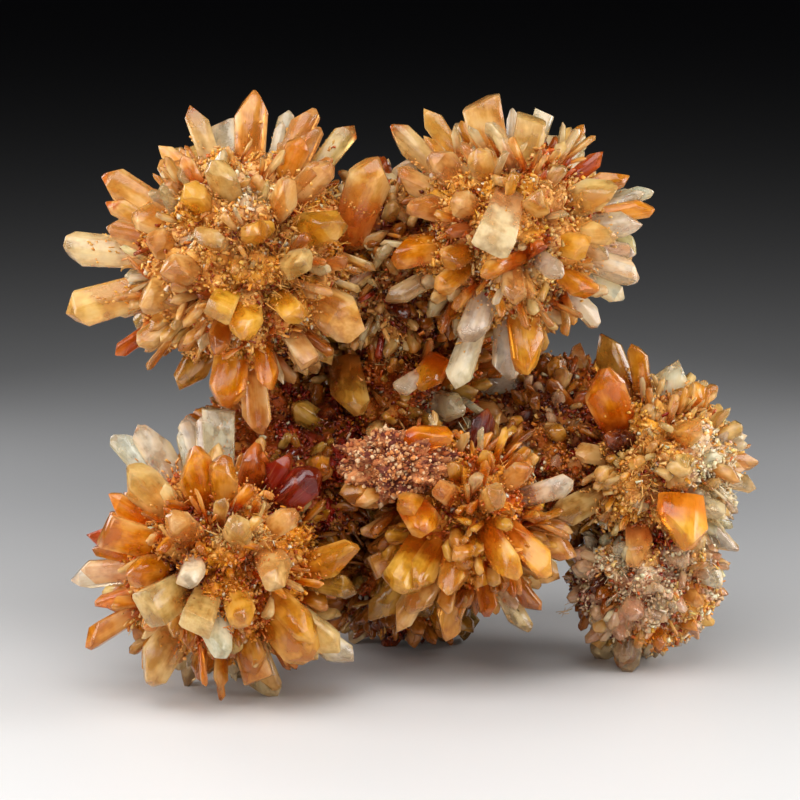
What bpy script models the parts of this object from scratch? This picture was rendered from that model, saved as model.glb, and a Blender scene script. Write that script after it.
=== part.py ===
"""A creedite cluster: rosettes of radiating prismatic crystals grown together.

A lump of iron oxide sits between them. The specimen is laid out as the eye sees it, from the front and
VIEW_TILT above the level. A place is given in millimetres as (across, up, toward): to the right and up on the
plane that faces the eye through the specimen's middle, and out of that plane towards the eye. Each rosette has
a centre, and each crystal of it is given by its tip, counted from that centre. The crystals root near the
centre, so they radiate, and a core of close-set small crystals fills the space between their roots.
"""

import math
import random
from collections import namedtuple

import bmesh
import bpy
from mathutils import Matrix, Vector, noise

MM = 0.001
VIEW_TILT = math.radians(10)
RIGHT = Vector((1, 0, 0))
UP = Vector((0, math.sin(VIEW_TILT), math.cos(VIEW_TILT)))
TOWARD = Vector((0, -math.cos(VIEW_TILT), math.sin(VIEW_TILT)))

# The point of the plane that the eye looks straight at, and the eye's distance from it.
AIM_ACROSS = -1.1
AIM_UP = 39.15
EYE_DISTANCE = 420.0

# How far the specimen is moved over, so that its box is centred on the origin.
CENTRE_SHIFT = Vector((-1.2, -1.0, 0.0))

# A rosette: its centre, its core's radius, the usual reach and width of the crystals that fill it out,
# how many directions those are spread over, and the seed of what varies in it.
Rosette = namedtuple("Rosette", "centre core reach width fillers seed")
# A crystal: its tip from the rosette's centre, its width, how it ends, and where its root lies from
# that centre.
Crystal = namedtuple("Crystal", "across up toward width end root", defaults=("point", (0, 0, 0)))

# Six rosettes show in front. The heart and the three necks lie between them and hold them together, and
# the back foot is what the specimen stands on behind.
ROSETTES = {
    "upper_left": Rosette((-23.6, 59.2, 12.5), 13.5, 21.5, 4.8, 40, 1),
    "upper_right": Rosette((14.6, 63.5, 12.5), 12.0, 19.5, 4.6, 36, 2),
    "lower_left": Rosette((-26.9, 15.7, 15.0), 12.5, 20.5, 4.8, 36, 3),
    "lower_middle": Rosette((8.3, 22.5, 10.0), 11.0, 17.5, 4.4, 34, 4),
    "right": Rosette((35.9, 29.7, 3.0), 10.0, 15.5, 4.0, 34, 5),
    "right_foot": Rosette((34.4, 13.8, -1.0), 9.0, 13.0, 3.2, 34, 6),
    "heart": Rosette((-1.8, 40.0, -6.0), 14.5, 22.0, 5.0, 38, 7),
    "back_foot": Rosette((-1.0, 18.0, -13.0), 12.0, 17.5, 4.8, 32, 8),
    "top_neck": Rosette((-3.0, 58.0, 2.0), 12.0, 17.0, 4.4, 26, 9),
    "left_neck": Rosette((-17.0, 30.0, 1.0), 12.5, 17.0, 4.4, 24, 10),
    "right_neck": Rosette((21.0, 32.5, -3.0), 11.5, 16.0, 4.4, 24, 11),
}

CRYSTALS = {
    "upper_left": (
        Crystal(-27.0, 2.0, 0.0, 5.0),
        Crystal(-26.0, -7.7, 1.0, 5.4),
        Crystal(-21.0, 12.8, 2.0, 4.6),
        Crystal(-19.1, 8.6, -2.0, 3.0),
        Crystal(-16.4, 7.5, 9.0, 4.6),
        Crystal(-20.2, 5.1, 4.0, 3.0),
        Crystal(-7.7, 22.8, 1.0, 3.2),
        Crystal(1.0, 25.2, 1.0, 4.8),
        Crystal(6.5, 22.3, -1.0, 2.4),
        Crystal(9.7, 22.8, 0.0, 3.8),
        Crystal(8.4, 18.0, 8.0, 3.4),
        Crystal(-3.0, 20.4, -1.0, 4.0, "flat"),
        Crystal(15.7, 20.0, -4.0, 3.4),
        Crystal(19.4, 15.1, 9.0, 6.4, "point", (13.0, -2.0, 0.0)),
        Crystal(13.5, 6.7, 16.0, 5.6),
        Crystal(1.5, 5.2, 21.0, 3.6),
        Crystal(-8.8, 10.9, 15.5, 4.4),
        Crystal(-3.9, -7.5, 19.5, 3.8, "flat"),
        Crystal(0.3, -10.6, 18.5, 4.8),
        Crystal(17.8, -10.1, 12.0, 6.4),
        Crystal(9.7, -15.1, 11.0, 3.0, "flat"),
        Crystal(-2.9, -21.5, 9.0, 5.4),
        Crystal(3.9, -19.0, 11.0, 3.2),
        Crystal(1.9, -25.5, 3.0, 4.0),
        Crystal(-9.0, -18.9, 3.0, 4.4),
        Crystal(-18.9, -13.5, 1.0, 2.2),
        Crystal(12.3, 14.6, 12.0, 4.0),
        Crystal(-15.9, -5.5, 12.0, 6.0),
        Crystal(-14.0, 3.0, 13.0, 4.5),
        Crystal(8.0, -8.4, 17.0, 3.4),
        Crystal(-4.4, -12.8, 16.0, 3.2),
        Crystal(-4.0, 14.5, 17.0, 4.4),
        Crystal(7.0, 11.5, 18.0, 4.0),
        Crystal(-11.5, -1.5, 18.5, 4.6),
        Crystal(9.0, -0.5, 20.0, 4.6),
        Crystal(-6.0, 4.0, 20.5, 4.2),
    ),
    "upper_right": (
        Crystal(-17.8, -3.5, 10.0, 5.0),
        Crystal(-17.4, 15.5, 1.0, 3.8),
        Crystal(-12.2, 18.0, 1.0, 3.0),
        Crystal(-4.1, 19.4, 4.0, 5.6, "flat"),
        Crystal(1.3, 18.0, 0.0, 2.8),
        Crystal(3.5, 16.8, 6.0, 4.2, "flat"),
        Crystal(5.4, 17.7, 1.0, 2.6, "flat"),
        Crystal(13.9, 11.5, 2.0, 2.4),
        Crystal(17.4, 8.8, 2.0, 3.4),
        Crystal(21.2, 6.2, 0.0, 2.2),
        Crystal(21.5, 3.8, 2.0, 2.8),
        Crystal(19.6, 1.3, 5.0, 3.8),
        Crystal(16.1, 0.3, 12.0, 4.2),
        Crystal(15.8, 7.0, 10.0, 5.0),
        Crystal(5.4, 5.4, 18.5, 4.4),
        Crystal(-2.2, -1.7, 21.0, 5.4, "flat", (1.0, 8.0, 6.0)),
        Crystal(19.3, -6.7, 3.0, 4.2),
        Crystal(17.0, -9.9, 1.0, 2.8),
        Crystal(18.6, -2.9, 2.0, 2.2),
        Crystal(13.5, -13.8, 1.0, 2.8),
        Crystal(3.6, -20.9, 7.0, 5.2),
        Crystal(-0.4, -22.0, 1.0, 4.0),
        Crystal(-8.1, -23.3, 5.0, 4.4),
        Crystal(-5.8, -16.4, 9.0, 4.2),
        Crystal(-9.6, -4.4, 15.0, 3.6),
        Crystal(-10.2, -8.4, 14.0, 3.2),
        Crystal(-17.8, -10.3, 4.0, 3.0),
        Crystal(-16.8, 8.7, 5.0, 3.6),
        Crystal(-14.5, 4.6, 11.0, 3.8),
        Crystal(-7.7, 4.6, 16.0, 4.2),
        Crystal(-4.8, 11.9, 14.0, 3.6),
        Crystal(11.9, -2.6, 14.0, 3.8),
        Crystal(7.5, -6.2, 16.5, 3.0),
        Crystal(-11.3, 11.9, 9.0, 4.2),
        Crystal(1.0, -10.0, 17.0, 3.8),
        Crystal(12.5, -9.5, 12.0, 3.6),
    ),
    "lower_left": (
        Crystal(-11.9, 20.4, -1.0, 4.6),
        Crystal(-15.4, 19.1, -2.0, 4.2),
        Crystal(-5.8, 21.8, -2.0, 3.8),
        Crystal(-0.5, 22.5, 0.0, 4.6, "flat"),
        Crystal(-14.4, 14.1, 9.0, 6.4),
        Crystal(-4.9, 16.7, 12.0, 5.4),
        Crystal(0.4, 15.1, 13.0, 4.4),
        Crystal(6.2, 17.3, 9.0, 4.6),
        Crystal(14.2, 13.6, 10.0, 5.2),
        Crystal(9.6, 16.0, 7.0, 4.0),
        Crystal(-16.7, 9.3, 7.0, 3.0),
        Crystal(-17.3, 4.6, 12.0, 4.6, "flat"),
        Crystal(-19.7, 4.2, 3.0, 3.4),
        Crystal(-22.3, -2.3, 0.0, 3.6),
        Crystal(-20.6, -1.7, 5.0, 3.4),
        Crystal(-18.7, -6.7, 4.0, 2.6),
        Crystal(-20.2, -11.9, 3.0, 4.4),
        Crystal(-11.6, -17.7, 8.0, 5.6),
        Crystal(-11.0, -7.2, 17.0, 5.4, "flat"),
        Crystal(-4.9, -3.0, 21.0, 4.2, "point", (-4.0, 4.0, 0.0)),
        Crystal(8.7, -2.8, 20.0, 5.0, "point", (5.0, 4.0, 0.0)),
        Crystal(20.3, 1.3, 9.0, 5.0, "point", (4.0, -3.0, 0.0)),
        Crystal(10.6, 7.1, 14.0, 3.4),
        Crystal(-3.9, -9.3, 19.0, 4.6, "flat"),
        Crystal(3.3, -8.7, 20.0, 4.2),
        Crystal(-0.9, -13.8, 17.0, 4.4),
        Crystal(13.5, -14.1, 12.5, 7.0),
        Crystal(17.1, -13.6, 7.0, 5.0),
        Crystal(18.9, -14.8, 2.0, 3.6),
        Crystal(7.0, -19.6, -1.6, 4.4),
        Crystal(19.7, -4.1, 6.0, 3.2),
        Crystal(-13.8, -1.6, 14.5, 4.4),
        Crystal(-7.5, 6.5, 18.5, 4.2),
        Crystal(3.0, 5.5, 19.5, 4.2),
    ),
    "lower_middle": (
        Crystal(-10.2, -11.0, 12.5, 5.0),
        Crystal(-13.6, -16.0, 4.0, 4.8),
        Crystal(-10.3, -16.8, 5.0, 3.6),
        Crystal(-7.8, -14.8, 8.0, 3.8),
        Crystal(-1.9, -11.2, 14.0, 3.4),
        Crystal(-2.9, -18.4, 2.0, 3.8),
        Crystal(7.8, -8.8, 14.0, 4.2),
        Crystal(13.0, -8.4, 11.0, 3.6),
        Crystal(9.0, -17.4, 2.0, 3.0),
        Crystal(10.7, -14.2, 3.0, 2.6),
        Crystal(3.9, -15.1, 5.0, 2.6),
        Crystal(-9.4, 1.2, 15.0, 4.6),
        Crystal(-6.5, -2.3, 16.0, 4.2),
        Crystal(-3.5, 4.2, 15.0, 3.4),
        Crystal(-17.3, 2.9, 10.5, 4.6, "flat"),
        Crystal(-2.6, 13.5, 9.0, 4.0, "point", (-5.0, 6.0, 0.0)),
        Crystal(16.0, 4.6, 7.0, 3.2),
        Crystal(5.0, 3.0, 16.0, 3.6),
        Crystal(9.4, 7.3, 11.0, 3.2),
    ),
    "right": (
        Crystal(-8.8, 18.9, -3.0, 5.8),
        Crystal(-8.3, 13.6, 13.0, 6.4, "point", (-3.0, 0.0, 0.0)),
        Crystal(-2.8, 17.8, 2.0, 2.9),
        Crystal(2.8, 15.5, 2.0, 4.9),
        Crystal(10.3, 8.4, 2.0, 2.6),
        Crystal(5.8, 6.5, 14.0, 4.4),
        Crystal(13.5, 4.1, 1.0, 2.4),
        Crystal(14.8, -3.0, 1.0, 2.6),
        Crystal(-11.5, 2.0, 10.0, 3.0),
        Crystal(4.1, -13.2, 11.0, 6.6, "point", (5.0, -2.0, 4.0)),
        Crystal(-1.9, -15.2, 9.0, 4.4, "point", (-3.0, -6.0, 2.0)),
        Crystal(11.7, -13.3, 1.0, 2.8),
        Crystal(9.1, -18.4, 1.0, 3.8, "point", (4.0, -8.0, 0.0)),
        Crystal(-15.5, -8.3, 8.0, 4.4),
        Crystal(9.4, 1.0, 11.0, 3.0),
    ),
    "right_foot": (
        Crystal(-3.5, -13.9, 1.0, 2.6),
        Crystal(8.0, -8.3, 5.0, 3.4),
        Crystal(-11.7, -3.3, 2.0, 2.4),
        Crystal(-8.3, -10.3, 3.0, 2.4),
        Crystal(-1.9, -6.2, 12.5, 3.6),
        Crystal(8.8, -3.6, 8.0, 3.2),
        Crystal(2.2, -10.9, 7.0, 2.6),
    ),
    "heart": (
        Crystal(-15.4, -1.2, 11.0, 4.4, "point", (-5.0, -6.0, 0.0)),
        Crystal(-8.7, 4.4, 18.5, 5.0),
        Crystal(-1.5, 7.3, 20.0, 4.2),
        Crystal(5.4, 3.6, 20.5, 4.2),
        Crystal(-5.5, -3.5, 20.0, 4.6),
        Crystal(11.5, 6.0, 16.5, 4.0),
        Crystal(19.0, 2.2, 9.0, 4.0),
        Crystal(16.5, -3.4, 12.0, 3.8),
        Crystal(9.5, -2.5, 18.0, 4.0),
    ),
    "back_foot": (),
    "top_neck": (),
    "left_neck": (),
    "right_neck": (),
}

# Where the specimen stands: the points of the floor, as X and Y, that a rosette's lowest crystals
# reach. Their tips are worn flat there, this far up from where they would have ended.
FEET = {
    "lower_left": ((-33.0, -8.0), (-20.5, -14.5), (-24.5, -3.0)),
    "right_foot": ((29.6, -1.5), (33.5, 7.0), (26.5, 6.0)),
    "back_foot": ((-9.0, 15.0), (6.0, 16.0), (-1.0, 23.0)),
}
FOOT_WIDTH = 4.6
FOOT_WEAR = 0.9

# The crystals' form: flattened prisms, with six sides where they are wide and four where they are
# narrow.
THICKNESS_SHARE = 0.62
ROOT_WIDTH_SHARE = 0.55
ROOT_START = 0.30
SIX_SIDED_FROM = 5.6
FOUR_FACED_FROM = 5.2
TURN_SPREAD = math.radians(14)
APEX_OFFSET = 0.22
EDGE_SLOPES = (math.radians(42), math.radians(60))
FACE_SLOPES = (math.radians(34), math.radians(52))
BREAK_AT = 0.97
BREAK_LEAN = (0.10, 0.30)
SNAP = 0.001

# The crystals that fill the rosettes out: how they vary, as shares of the usual, and how far they keep
# from others.
FILLER_REACH = (0.86, 1.04)
FILLER_WIDTH = (0.75, 1.30)
FILLER_BROKEN = 0.12
FILLER_SCATTER = 0.09
FILLER_CLEARANCE = math.radians(19)
BURIED_MARGIN = 4.5
CRUST_RELIEF = (0.84, 1.20)

# The lump of iron oxide: its centre, its half lengths, its roughness, and the gap that parts it from
# the crystals.
MATRIX_CENTRE = (-1.6, 29.8, 19.0)
MATRIX_RADII = (6.6, 4.6, 4.2)
MATRIX_LUMPS = 0.4
MATRIX_LUMP_SCALE = 2.3
MATRIX_CRUMBS = 0.07
MATRIX_SEED = 21
MATRIX_GAP = 0.3

FLOOR_CUTTER = 60.0


def place(across, up, toward):
    """The point, in millimetres, that the eye sees at (across, up) and that lies so far towards it."""
    shrink = 1 - toward / EYE_DISTANCE
    across = AIM_ACROSS + (across - AIM_ACROSS) * shrink
    up = AIM_UP + (up - AIM_UP) * shrink
    return RIGHT * across + UP * up + TOWARD * toward + CENTRE_SHIFT


def place_from(centre, offset):
    """The point that lies at that offset from a rosette's centre."""
    return place(*(c + o for c, o in zip(centre, offset)))


def clear_scene():
    for obj in list(bpy.data.objects):
        bpy.data.objects.remove(obj)


def material(name, colour, roughness):
    made = bpy.data.materials.new(name)
    made.use_nodes = True
    shader = made.node_tree.nodes["Principled BSDF"]
    shader.inputs["Base Color"].default_value = (*colour, 1)
    shader.inputs["Roughness"].default_value = roughness
    shader.inputs["Metallic"].default_value = 0
    return made


def object_of(name, bm, finish=None):
    """The bmesh, which is in millimetres, as a new object in metres."""
    bmesh.ops.scale(bm, vec=(MM, MM, MM), verts=bm.verts)
    mesh = bpy.data.meshes.new(name)
    bm.to_mesh(mesh)
    bm.free()
    if finish:
        mesh.materials.append(finish)
    made = bpy.data.objects.new(name, mesh)
    bpy.context.scene.collection.objects.link(made)
    return made


def helper(obj):
    """Keeps a cutter or a joined shape out of the specimen itself."""
    obj.hide_render = True
    obj.display_type = "WIRE"
    return obj


def add_to(cluster, bm):
    """Adds one closed shape to the cluster's mesh."""
    mesh = bpy.data.meshes.new("shape")
    bm.to_mesh(mesh)
    bm.free()
    cluster.from_mesh(mesh)
    bpy.data.meshes.remove(mesh)


def trim(bm, point, normal):
    """Cuts off what lies beyond a plane, and closes the cut with a flat face."""
    everything = bm.verts[:] + bm.edges[:] + bm.faces[:]
    bmesh.ops.bisect_plane(
        bm, geom=everything, dist=SNAP, plane_co=point, plane_no=Vector(normal).normalized(), clear_outer=True
    )
    bmesh.ops.holes_fill(bm, edges=[e for e in bm.edges if e.is_boundary])


def prism_blank(bm, width, thickness, length, sides):
    """A flattened prism along +Z that is narrower at its root."""
    made = bmesh.ops.create_cone(
        bm, cap_ends=True, segments=sides, radius1=0.5 * ROOT_WIDTH_SHARE, radius2=0.5, depth=length
    )
    bmesh.ops.rotate(bm, matrix=Matrix.Rotation(math.pi / 2, 3, "Z"), verts=made["verts"])
    bmesh.ops.scale(bm, vec=(width, thickness / math.cos(math.pi / sides), 1), verts=made["verts"])
    bmesh.ops.translate(bm, vec=(0, 0, length / 2), verts=made["verts"])


def close_end(bm, width, thickness, length, end, rng):
    """The crystal's end: two to four sloping faces that meet off centre, or one nearly square break."""
    if end == "flat":
        lean = rng.uniform(*BREAK_LEAN)
        turn = rng.uniform(0, math.tau)
        trim(bm, (0, 0, length * BREAK_AT), (lean * math.cos(turn), lean * math.sin(turn), 1))
        return
    apex_x = width * rng.uniform(-APEX_OFFSET, APEX_OFFSET)
    apex_y = thickness * rng.uniform(-APEX_OFFSET, APEX_OFFSET)
    for side in (1, -1):
        slope = rng.uniform(*EDGE_SLOPES)
        trim(bm, (apex_x, 0, length), (side * math.sin(slope), 0, math.cos(slope)))
    if width < FOUR_FACED_FROM:
        return
    for face in (1, -1):
        slope = rng.uniform(*FACE_SLOPES)
        trim(bm, (0, apex_y, length), (0, face * math.sin(slope), math.cos(slope)))


def crystal_frame(root, tip, turn):
    """The crystal's own axes: +Z from root to tip, and its broad side, before the turn, facing the eye."""
    axis = (tip - root).normalized()
    nearly_at_the_eye = abs(axis.dot(TOWARD)) > 0.95
    across = axis.cross(UP if nearly_at_the_eye else TOWARD).normalized()
    frame = Matrix((across, axis.cross(across), axis)).transposed().to_4x4()
    return Matrix.Translation(root) @ frame @ Matrix.Rotation(turn, 4, "Z")


def add_crystal(cluster, root, tip, width, end, rng):
    """One crystal, added to the cluster's mesh."""
    root = root.lerp(tip, ROOT_START)
    length = (tip - root).length
    thickness = width * THICKNESS_SHARE
    turn = rng.gauss(0, TURN_SPREAD)
    bm = bmesh.new()
    prism_blank(bm, width, thickness, length, 6 if width >= SIX_SIDED_FROM else 4)
    close_end(bm, width, thickness, length, end, rng)
    bmesh.ops.transform(bm, matrix=crystal_frame(root, tip, turn), verts=bm.verts)
    bmesh.ops.recalc_face_normals(bm, faces=bm.faces)
    add_to(cluster, bm)


def spread_directions(count, rng):
    """Directions spread evenly over a ball, each a little off its place."""
    golden = math.pi * (3 - math.sqrt(5))
    for i in range(count):
        z = 1 - (2 * i + 1) / count
        ring = math.sqrt(1 - z * z)
        out = Vector((ring * math.cos(golden * i), ring * math.sin(golden * i), z))
        yield (out + Vector([rng.gauss(0, FILLER_SCATTER) for _ in range(3)])).normalized()


def fillers(name):
    """The crystals that fill out a rosette where none is given and where its neighbours would not bury them."""
    rosette = ROSETTES[name]
    rng = random.Random(100 + rosette.seed)
    given = [Vector((c.across, c.up, c.toward)).normalized() for c in CRYSTALS[name]]
    others = [r for n, r in ROSETTES.items() if n != name]
    for out in spread_directions(rosette.fillers, rng):
        reach = rosette.reach * rng.uniform(*FILLER_REACH)
        width = rosette.width * rng.uniform(*FILLER_WIDTH)
        end = "flat" if rng.random() < FILLER_BROKEN else "point"
        tip = Vector(rosette.centre) + out * reach
        if any(out.angle(g) < FILLER_CLEARANCE for g in given):
            continue
        if any((tip - Vector(r.centre)).length < r.core + BURIED_MARGIN for r in others):
            continue
        yield Crystal(out.x * reach, out.y * reach, out.z * reach, width, end)


def crusted_core(rosette):
    """A rosette's core: a faceted ball whose corners stand out or lie back, as the small crystals there do."""
    rng = random.Random(50 + rosette.seed)
    bm = bmesh.new()
    bmesh.ops.create_icosphere(bm, subdivisions=2, radius=rosette.core)
    bmesh.ops.rotate(bm, matrix=Matrix.Rotation(rng.uniform(0, math.tau), 3, "X"), verts=bm.verts)
    for v in bm.verts:
        v.co *= rng.uniform(*CRUST_RELIEF)
    bmesh.ops.translate(bm, vec=place(*rosette.centre), verts=bm.verts)
    return bm


def boolean(body, other, operation, name):
    step = body.modifiers.new(name, "BOOLEAN")
    step.operation = operation
    step.solver = "EXACT"
    step.use_self = operation == "UNION"
    step.object = helper(other)


def build_crystals(finish):
    """All the rosettes as one solid, which is how they grew: the heart's core, joined with all the rest."""
    cluster = bmesh.new()
    for name, rosette in ROSETTES.items():
        rng = random.Random(rosette.seed)
        for crystal in (*CRYSTALS[name], *fillers(name)):
            tip = place_from(rosette.centre, (crystal.across, crystal.up, crystal.toward))
            root = place_from(rosette.centre, crystal.root)
            add_crystal(cluster, root, tip, crystal.width, crystal.end, rng)
        for x, y in FEET.get(name, ()):
            add_crystal(cluster, place(*rosette.centre), Vector((x, y, -FOOT_WEAR)), FOOT_WIDTH, "point", rng)
        if name != "heart":
            add_to(cluster, crusted_core(rosette))
    body = object_of("creedite_crystals", crusted_core(ROSETTES["heart"]), finish)
    boolean(body, object_of("crystals_before_joining", cluster), "UNION", "grown together")
    return body


def shells(bm):
    """The mesh's separate surfaces, as lists of vertices."""
    seen = set()
    for start in bm.verts:
        if start in seen:
            continue
        seen.add(start)
        shell = [start]
        for v in shell:
            for e in v.link_edges:
                other = e.other_vert(v)
                if other not in seen:
                    seen.add(other)
                    shell.append(other)
        yield shell


def keep_largest_shell(obj):
    """Bakes the Booleans, then drops the closed voids between the cores and any chip that a cut freed."""
    baked = bpy.data.meshes.new_from_object(obj.evaluated_get(bpy.context.evaluated_depsgraph_get()))
    obj.modifiers.clear()
    obj.data = baked
    bm = bmesh.new()
    bm.from_mesh(baked)
    by_size = sorted(shells(bm), key=len)
    for shell in by_size[:-1]:
        bmesh.ops.delete(bm, geom=shell, context="VERTS")
    bm.to_mesh(baked)
    bm.free()


def floor_block():
    """What lies below the surface that the specimen rests on: the tips that reach it are worn flat."""
    bm = bmesh.new()
    made = bmesh.ops.create_cube(bm, size=2 * FLOOR_CUTTER)
    bmesh.ops.translate(bm, vec=(0, 0, -FLOOR_CUTTER), verts=made["verts"])
    return object_of("below_the_rest", bm)


def matrix_lump(grow):
    """The lump of iron oxide, or, grown by the gap round it, the pocket that it sits in."""
    rng = random.Random(MATRIX_SEED)
    bm = bmesh.new()
    bmesh.ops.create_icosphere(bm, subdivisions=3, radius=1.0)
    for v in bm.verts:
        crumb = rng.uniform(-MATRIX_CRUMBS, MATRIX_CRUMBS)
        v.co *= 1 + MATRIX_LUMPS * noise.noise(v.co * MATRIX_LUMP_SCALE) + crumb
    bmesh.ops.scale(bm, vec=[r + grow for r in MATRIX_RADII], verts=bm.verts)
    bmesh.ops.translate(bm, vec=place(*MATRIX_CENTRE), verts=bm.verts)
    return bm


def main():
    clear_scene()
    creedite = material("creedite", (0.80, 0.42, 0.12), 0.25)
    iron_oxide = material("iron_oxide", (0.42, 0.17, 0.06), 0.85)
    crystals = build_crystals(creedite)
    boolean(crystals, floor_block(), "DIFFERENCE", "rest")
    boolean(crystals, object_of("matrix_pocket", matrix_lump(MATRIX_GAP)), "DIFFERENCE", "pocket")
    keep_largest_shell(crystals)
    object_of("iron_oxide_matrix", matrix_lump(0.0), iron_oxide)


main()
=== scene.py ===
"""The looks of the creedite cluster: its crystals, the druse between them, the rusty lump and the light.

The specimen is laid out as in its source. A place is (across, up, toward) in millimetres: to the right and up
on the plane that faces the eye, and out of that plane. Each crystal of the solid is dressed where it stands.
Between them come the crystals of middle size, the sandy druse that beds them, the bits on the big ones'
flanks, tufts of needles, and the crumbs of iron oxide.
"""

import math
import random
from collections import namedtuple

import bmesh
import bpy
import numpy as np
from mathutils import Matrix, Vector, noise


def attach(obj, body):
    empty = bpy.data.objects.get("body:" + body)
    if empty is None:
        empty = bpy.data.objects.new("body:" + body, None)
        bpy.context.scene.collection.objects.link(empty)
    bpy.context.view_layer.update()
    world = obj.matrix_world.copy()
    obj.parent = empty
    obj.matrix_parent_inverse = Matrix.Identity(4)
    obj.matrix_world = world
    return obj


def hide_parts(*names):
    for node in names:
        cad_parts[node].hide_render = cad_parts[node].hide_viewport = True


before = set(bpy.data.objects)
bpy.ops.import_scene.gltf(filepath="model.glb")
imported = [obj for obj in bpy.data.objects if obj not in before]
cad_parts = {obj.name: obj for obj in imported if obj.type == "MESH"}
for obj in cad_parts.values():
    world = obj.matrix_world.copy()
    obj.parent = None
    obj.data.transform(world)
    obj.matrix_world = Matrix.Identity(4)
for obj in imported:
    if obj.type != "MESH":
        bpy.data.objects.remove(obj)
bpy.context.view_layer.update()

MM = 0.001
VIEW_TILT = math.radians(10)
RIGHT = Vector((1, 0, 0))
UP = Vector((0, math.sin(VIEW_TILT), math.cos(VIEW_TILT)))
TOWARD = Vector((0, -math.cos(VIEW_TILT), math.sin(VIEW_TILT)))

# The point of the plane that the eye looks straight at, the eye's distance from it, and the width of that
# plane that fills the picture.
AIM_ACROSS = -1.1
AIM_UP = 39.15
EYE_DISTANCE = 420.0
PICTURE_WIDTH = 116.0
SENSOR_WIDTH = 36.0
CENTRE_SHIFT = Vector((-1.2, -1.0, 0.0))

# A rosette: its centre, its core's radius, the usual reach and width of the crystals that fill it out, how
# many directions those are spread over, the seed of what varies in it, the finishes of its smaller crystals,
# those of its druse, and how far out the bed of druse lies, as a share of the core.
Rosette = namedtuple("Rosette", "centre core reach width fillers seed palette bed bed_out")
# A crystal: its tip from the rosette's centre, its width, its finish, how it ends, and where its root is.
CRYSTAL_USUALLY = ("honey", "point", (0, 0, 0))
Crystal = namedtuple("Crystal", "across up toward width finish end root", defaults=CRYSTAL_USUALLY)
# A finish: the crystal's colour, how far iron stains its tip, which of the glassy materials it has, and how
# strong the pale veils in it are.
Finish = namedtuple("Finish", "colour stain glass veil")
# A place where the small crystals look different, as the eye sees it: how far it reaches, the share of them
# that it takes over at its middle, and their finish.
Patch = namedtuple("Patch", "across up radius share finish")
# A tuft of needles, as the eye sees it: how far they spread, how many there are, how long they are, and their
# finish.
Tuft = namedtuple("Tuft", "across up radius count length finish")


def as_named(kind, table):
    """A table of plain rows, with each row as a named tuple of that kind."""
    return {name: kind(*row) for name, row in table.items()}


FINISHES = as_named(Finish, {
    "clear": ((0.98, 0.87, 0.68), 0.2, "clear", 0.6),
    "smoky": ((0.82, 0.6, 0.32), 0.2, "clear", 0.4),
    "frost": ((0.99, 0.83, 0.6), 0.1, "clear", 0.8),
    "pale": ((0.98, 0.75, 0.41), 0.25, "glassy", 0.8),
    "tipped_pale": ((0.95, 0.65, 0.26), 1.2, "glassy", 0.7),
    "white": ((0.98, 0.87, 0.64), 0.05, "milky", 0.3),
    "ivory": ((0.97, 0.77, 0.45), 0, "milky", 0.1),
    "sugar": ((0.96, 0.64, 0.24), 0.1, "milky", 0.6),
    "cream": ((0.95, 0.61, 0.19), 0.15, "milky", 0.7),
    "tipped": ((0.93, 0.52, 0.1), 1.2, "milky", 0.7),
    "yellow": ((0.97, 0.48, 0.032), 0.2, "milky", 0.25),
    "gold": ((0.95, 0.45, 0.045), 0.25, "milky", 0.4),
    "ochre": ((0.91, 0.36, 0.02), 0.35, "milky", 0.4),
    "honey": ((0.95, 0.51, 0.105), 0.35, "milky", 0.7),
    "sand": ((0.94, 0.475, 0.095), 0.25, "milky", 0.5),
    "tan": ((0.91, 0.48, 0.125), 0.35, "milky", 0.6),
    "peach": ((0.91, 0.38, 0.065), 0.5, "milky", 0.5),
    "rose": ((0.98, 0.72, 0.49), 0.3, "glassy", 0.8),
    "pink": ((0.97, 0.6, 0.36), 0.3, "glassy", 0.6),
    "orange": ((0.95, 0.36, 0.004), 0.6, "milky", 0.35),
    "amber": ((0.85, 0.35, 0.015), 0.4, "glassy", 0.3),
    "olive": ((0.62, 0.31, 0.035), 0.2, "glassy", 0.2),
    "brown": ((0.64, 0.2, 0.012), 0.3, "glassy", 0.15),
    "rust": ((0.7, 0.14, 0.006), 0.8, "milky", 0.1),
    "rusty": ((0.55, 0.11, 0.008), 0.6, "milky", 0.1),
    "red": ((0.38, 0.018, 0.004), 0.3, "glassy", 0),
    # Iron stain darkened further as painted shade, for hollows and clefts.
    "dark": ((0.15, 0.01, 0.003), 0.4, "milky", 0),
})

# Rosettes back in the hollows have darker, redder finishes: partly iron stain, partly painted shade.
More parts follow.
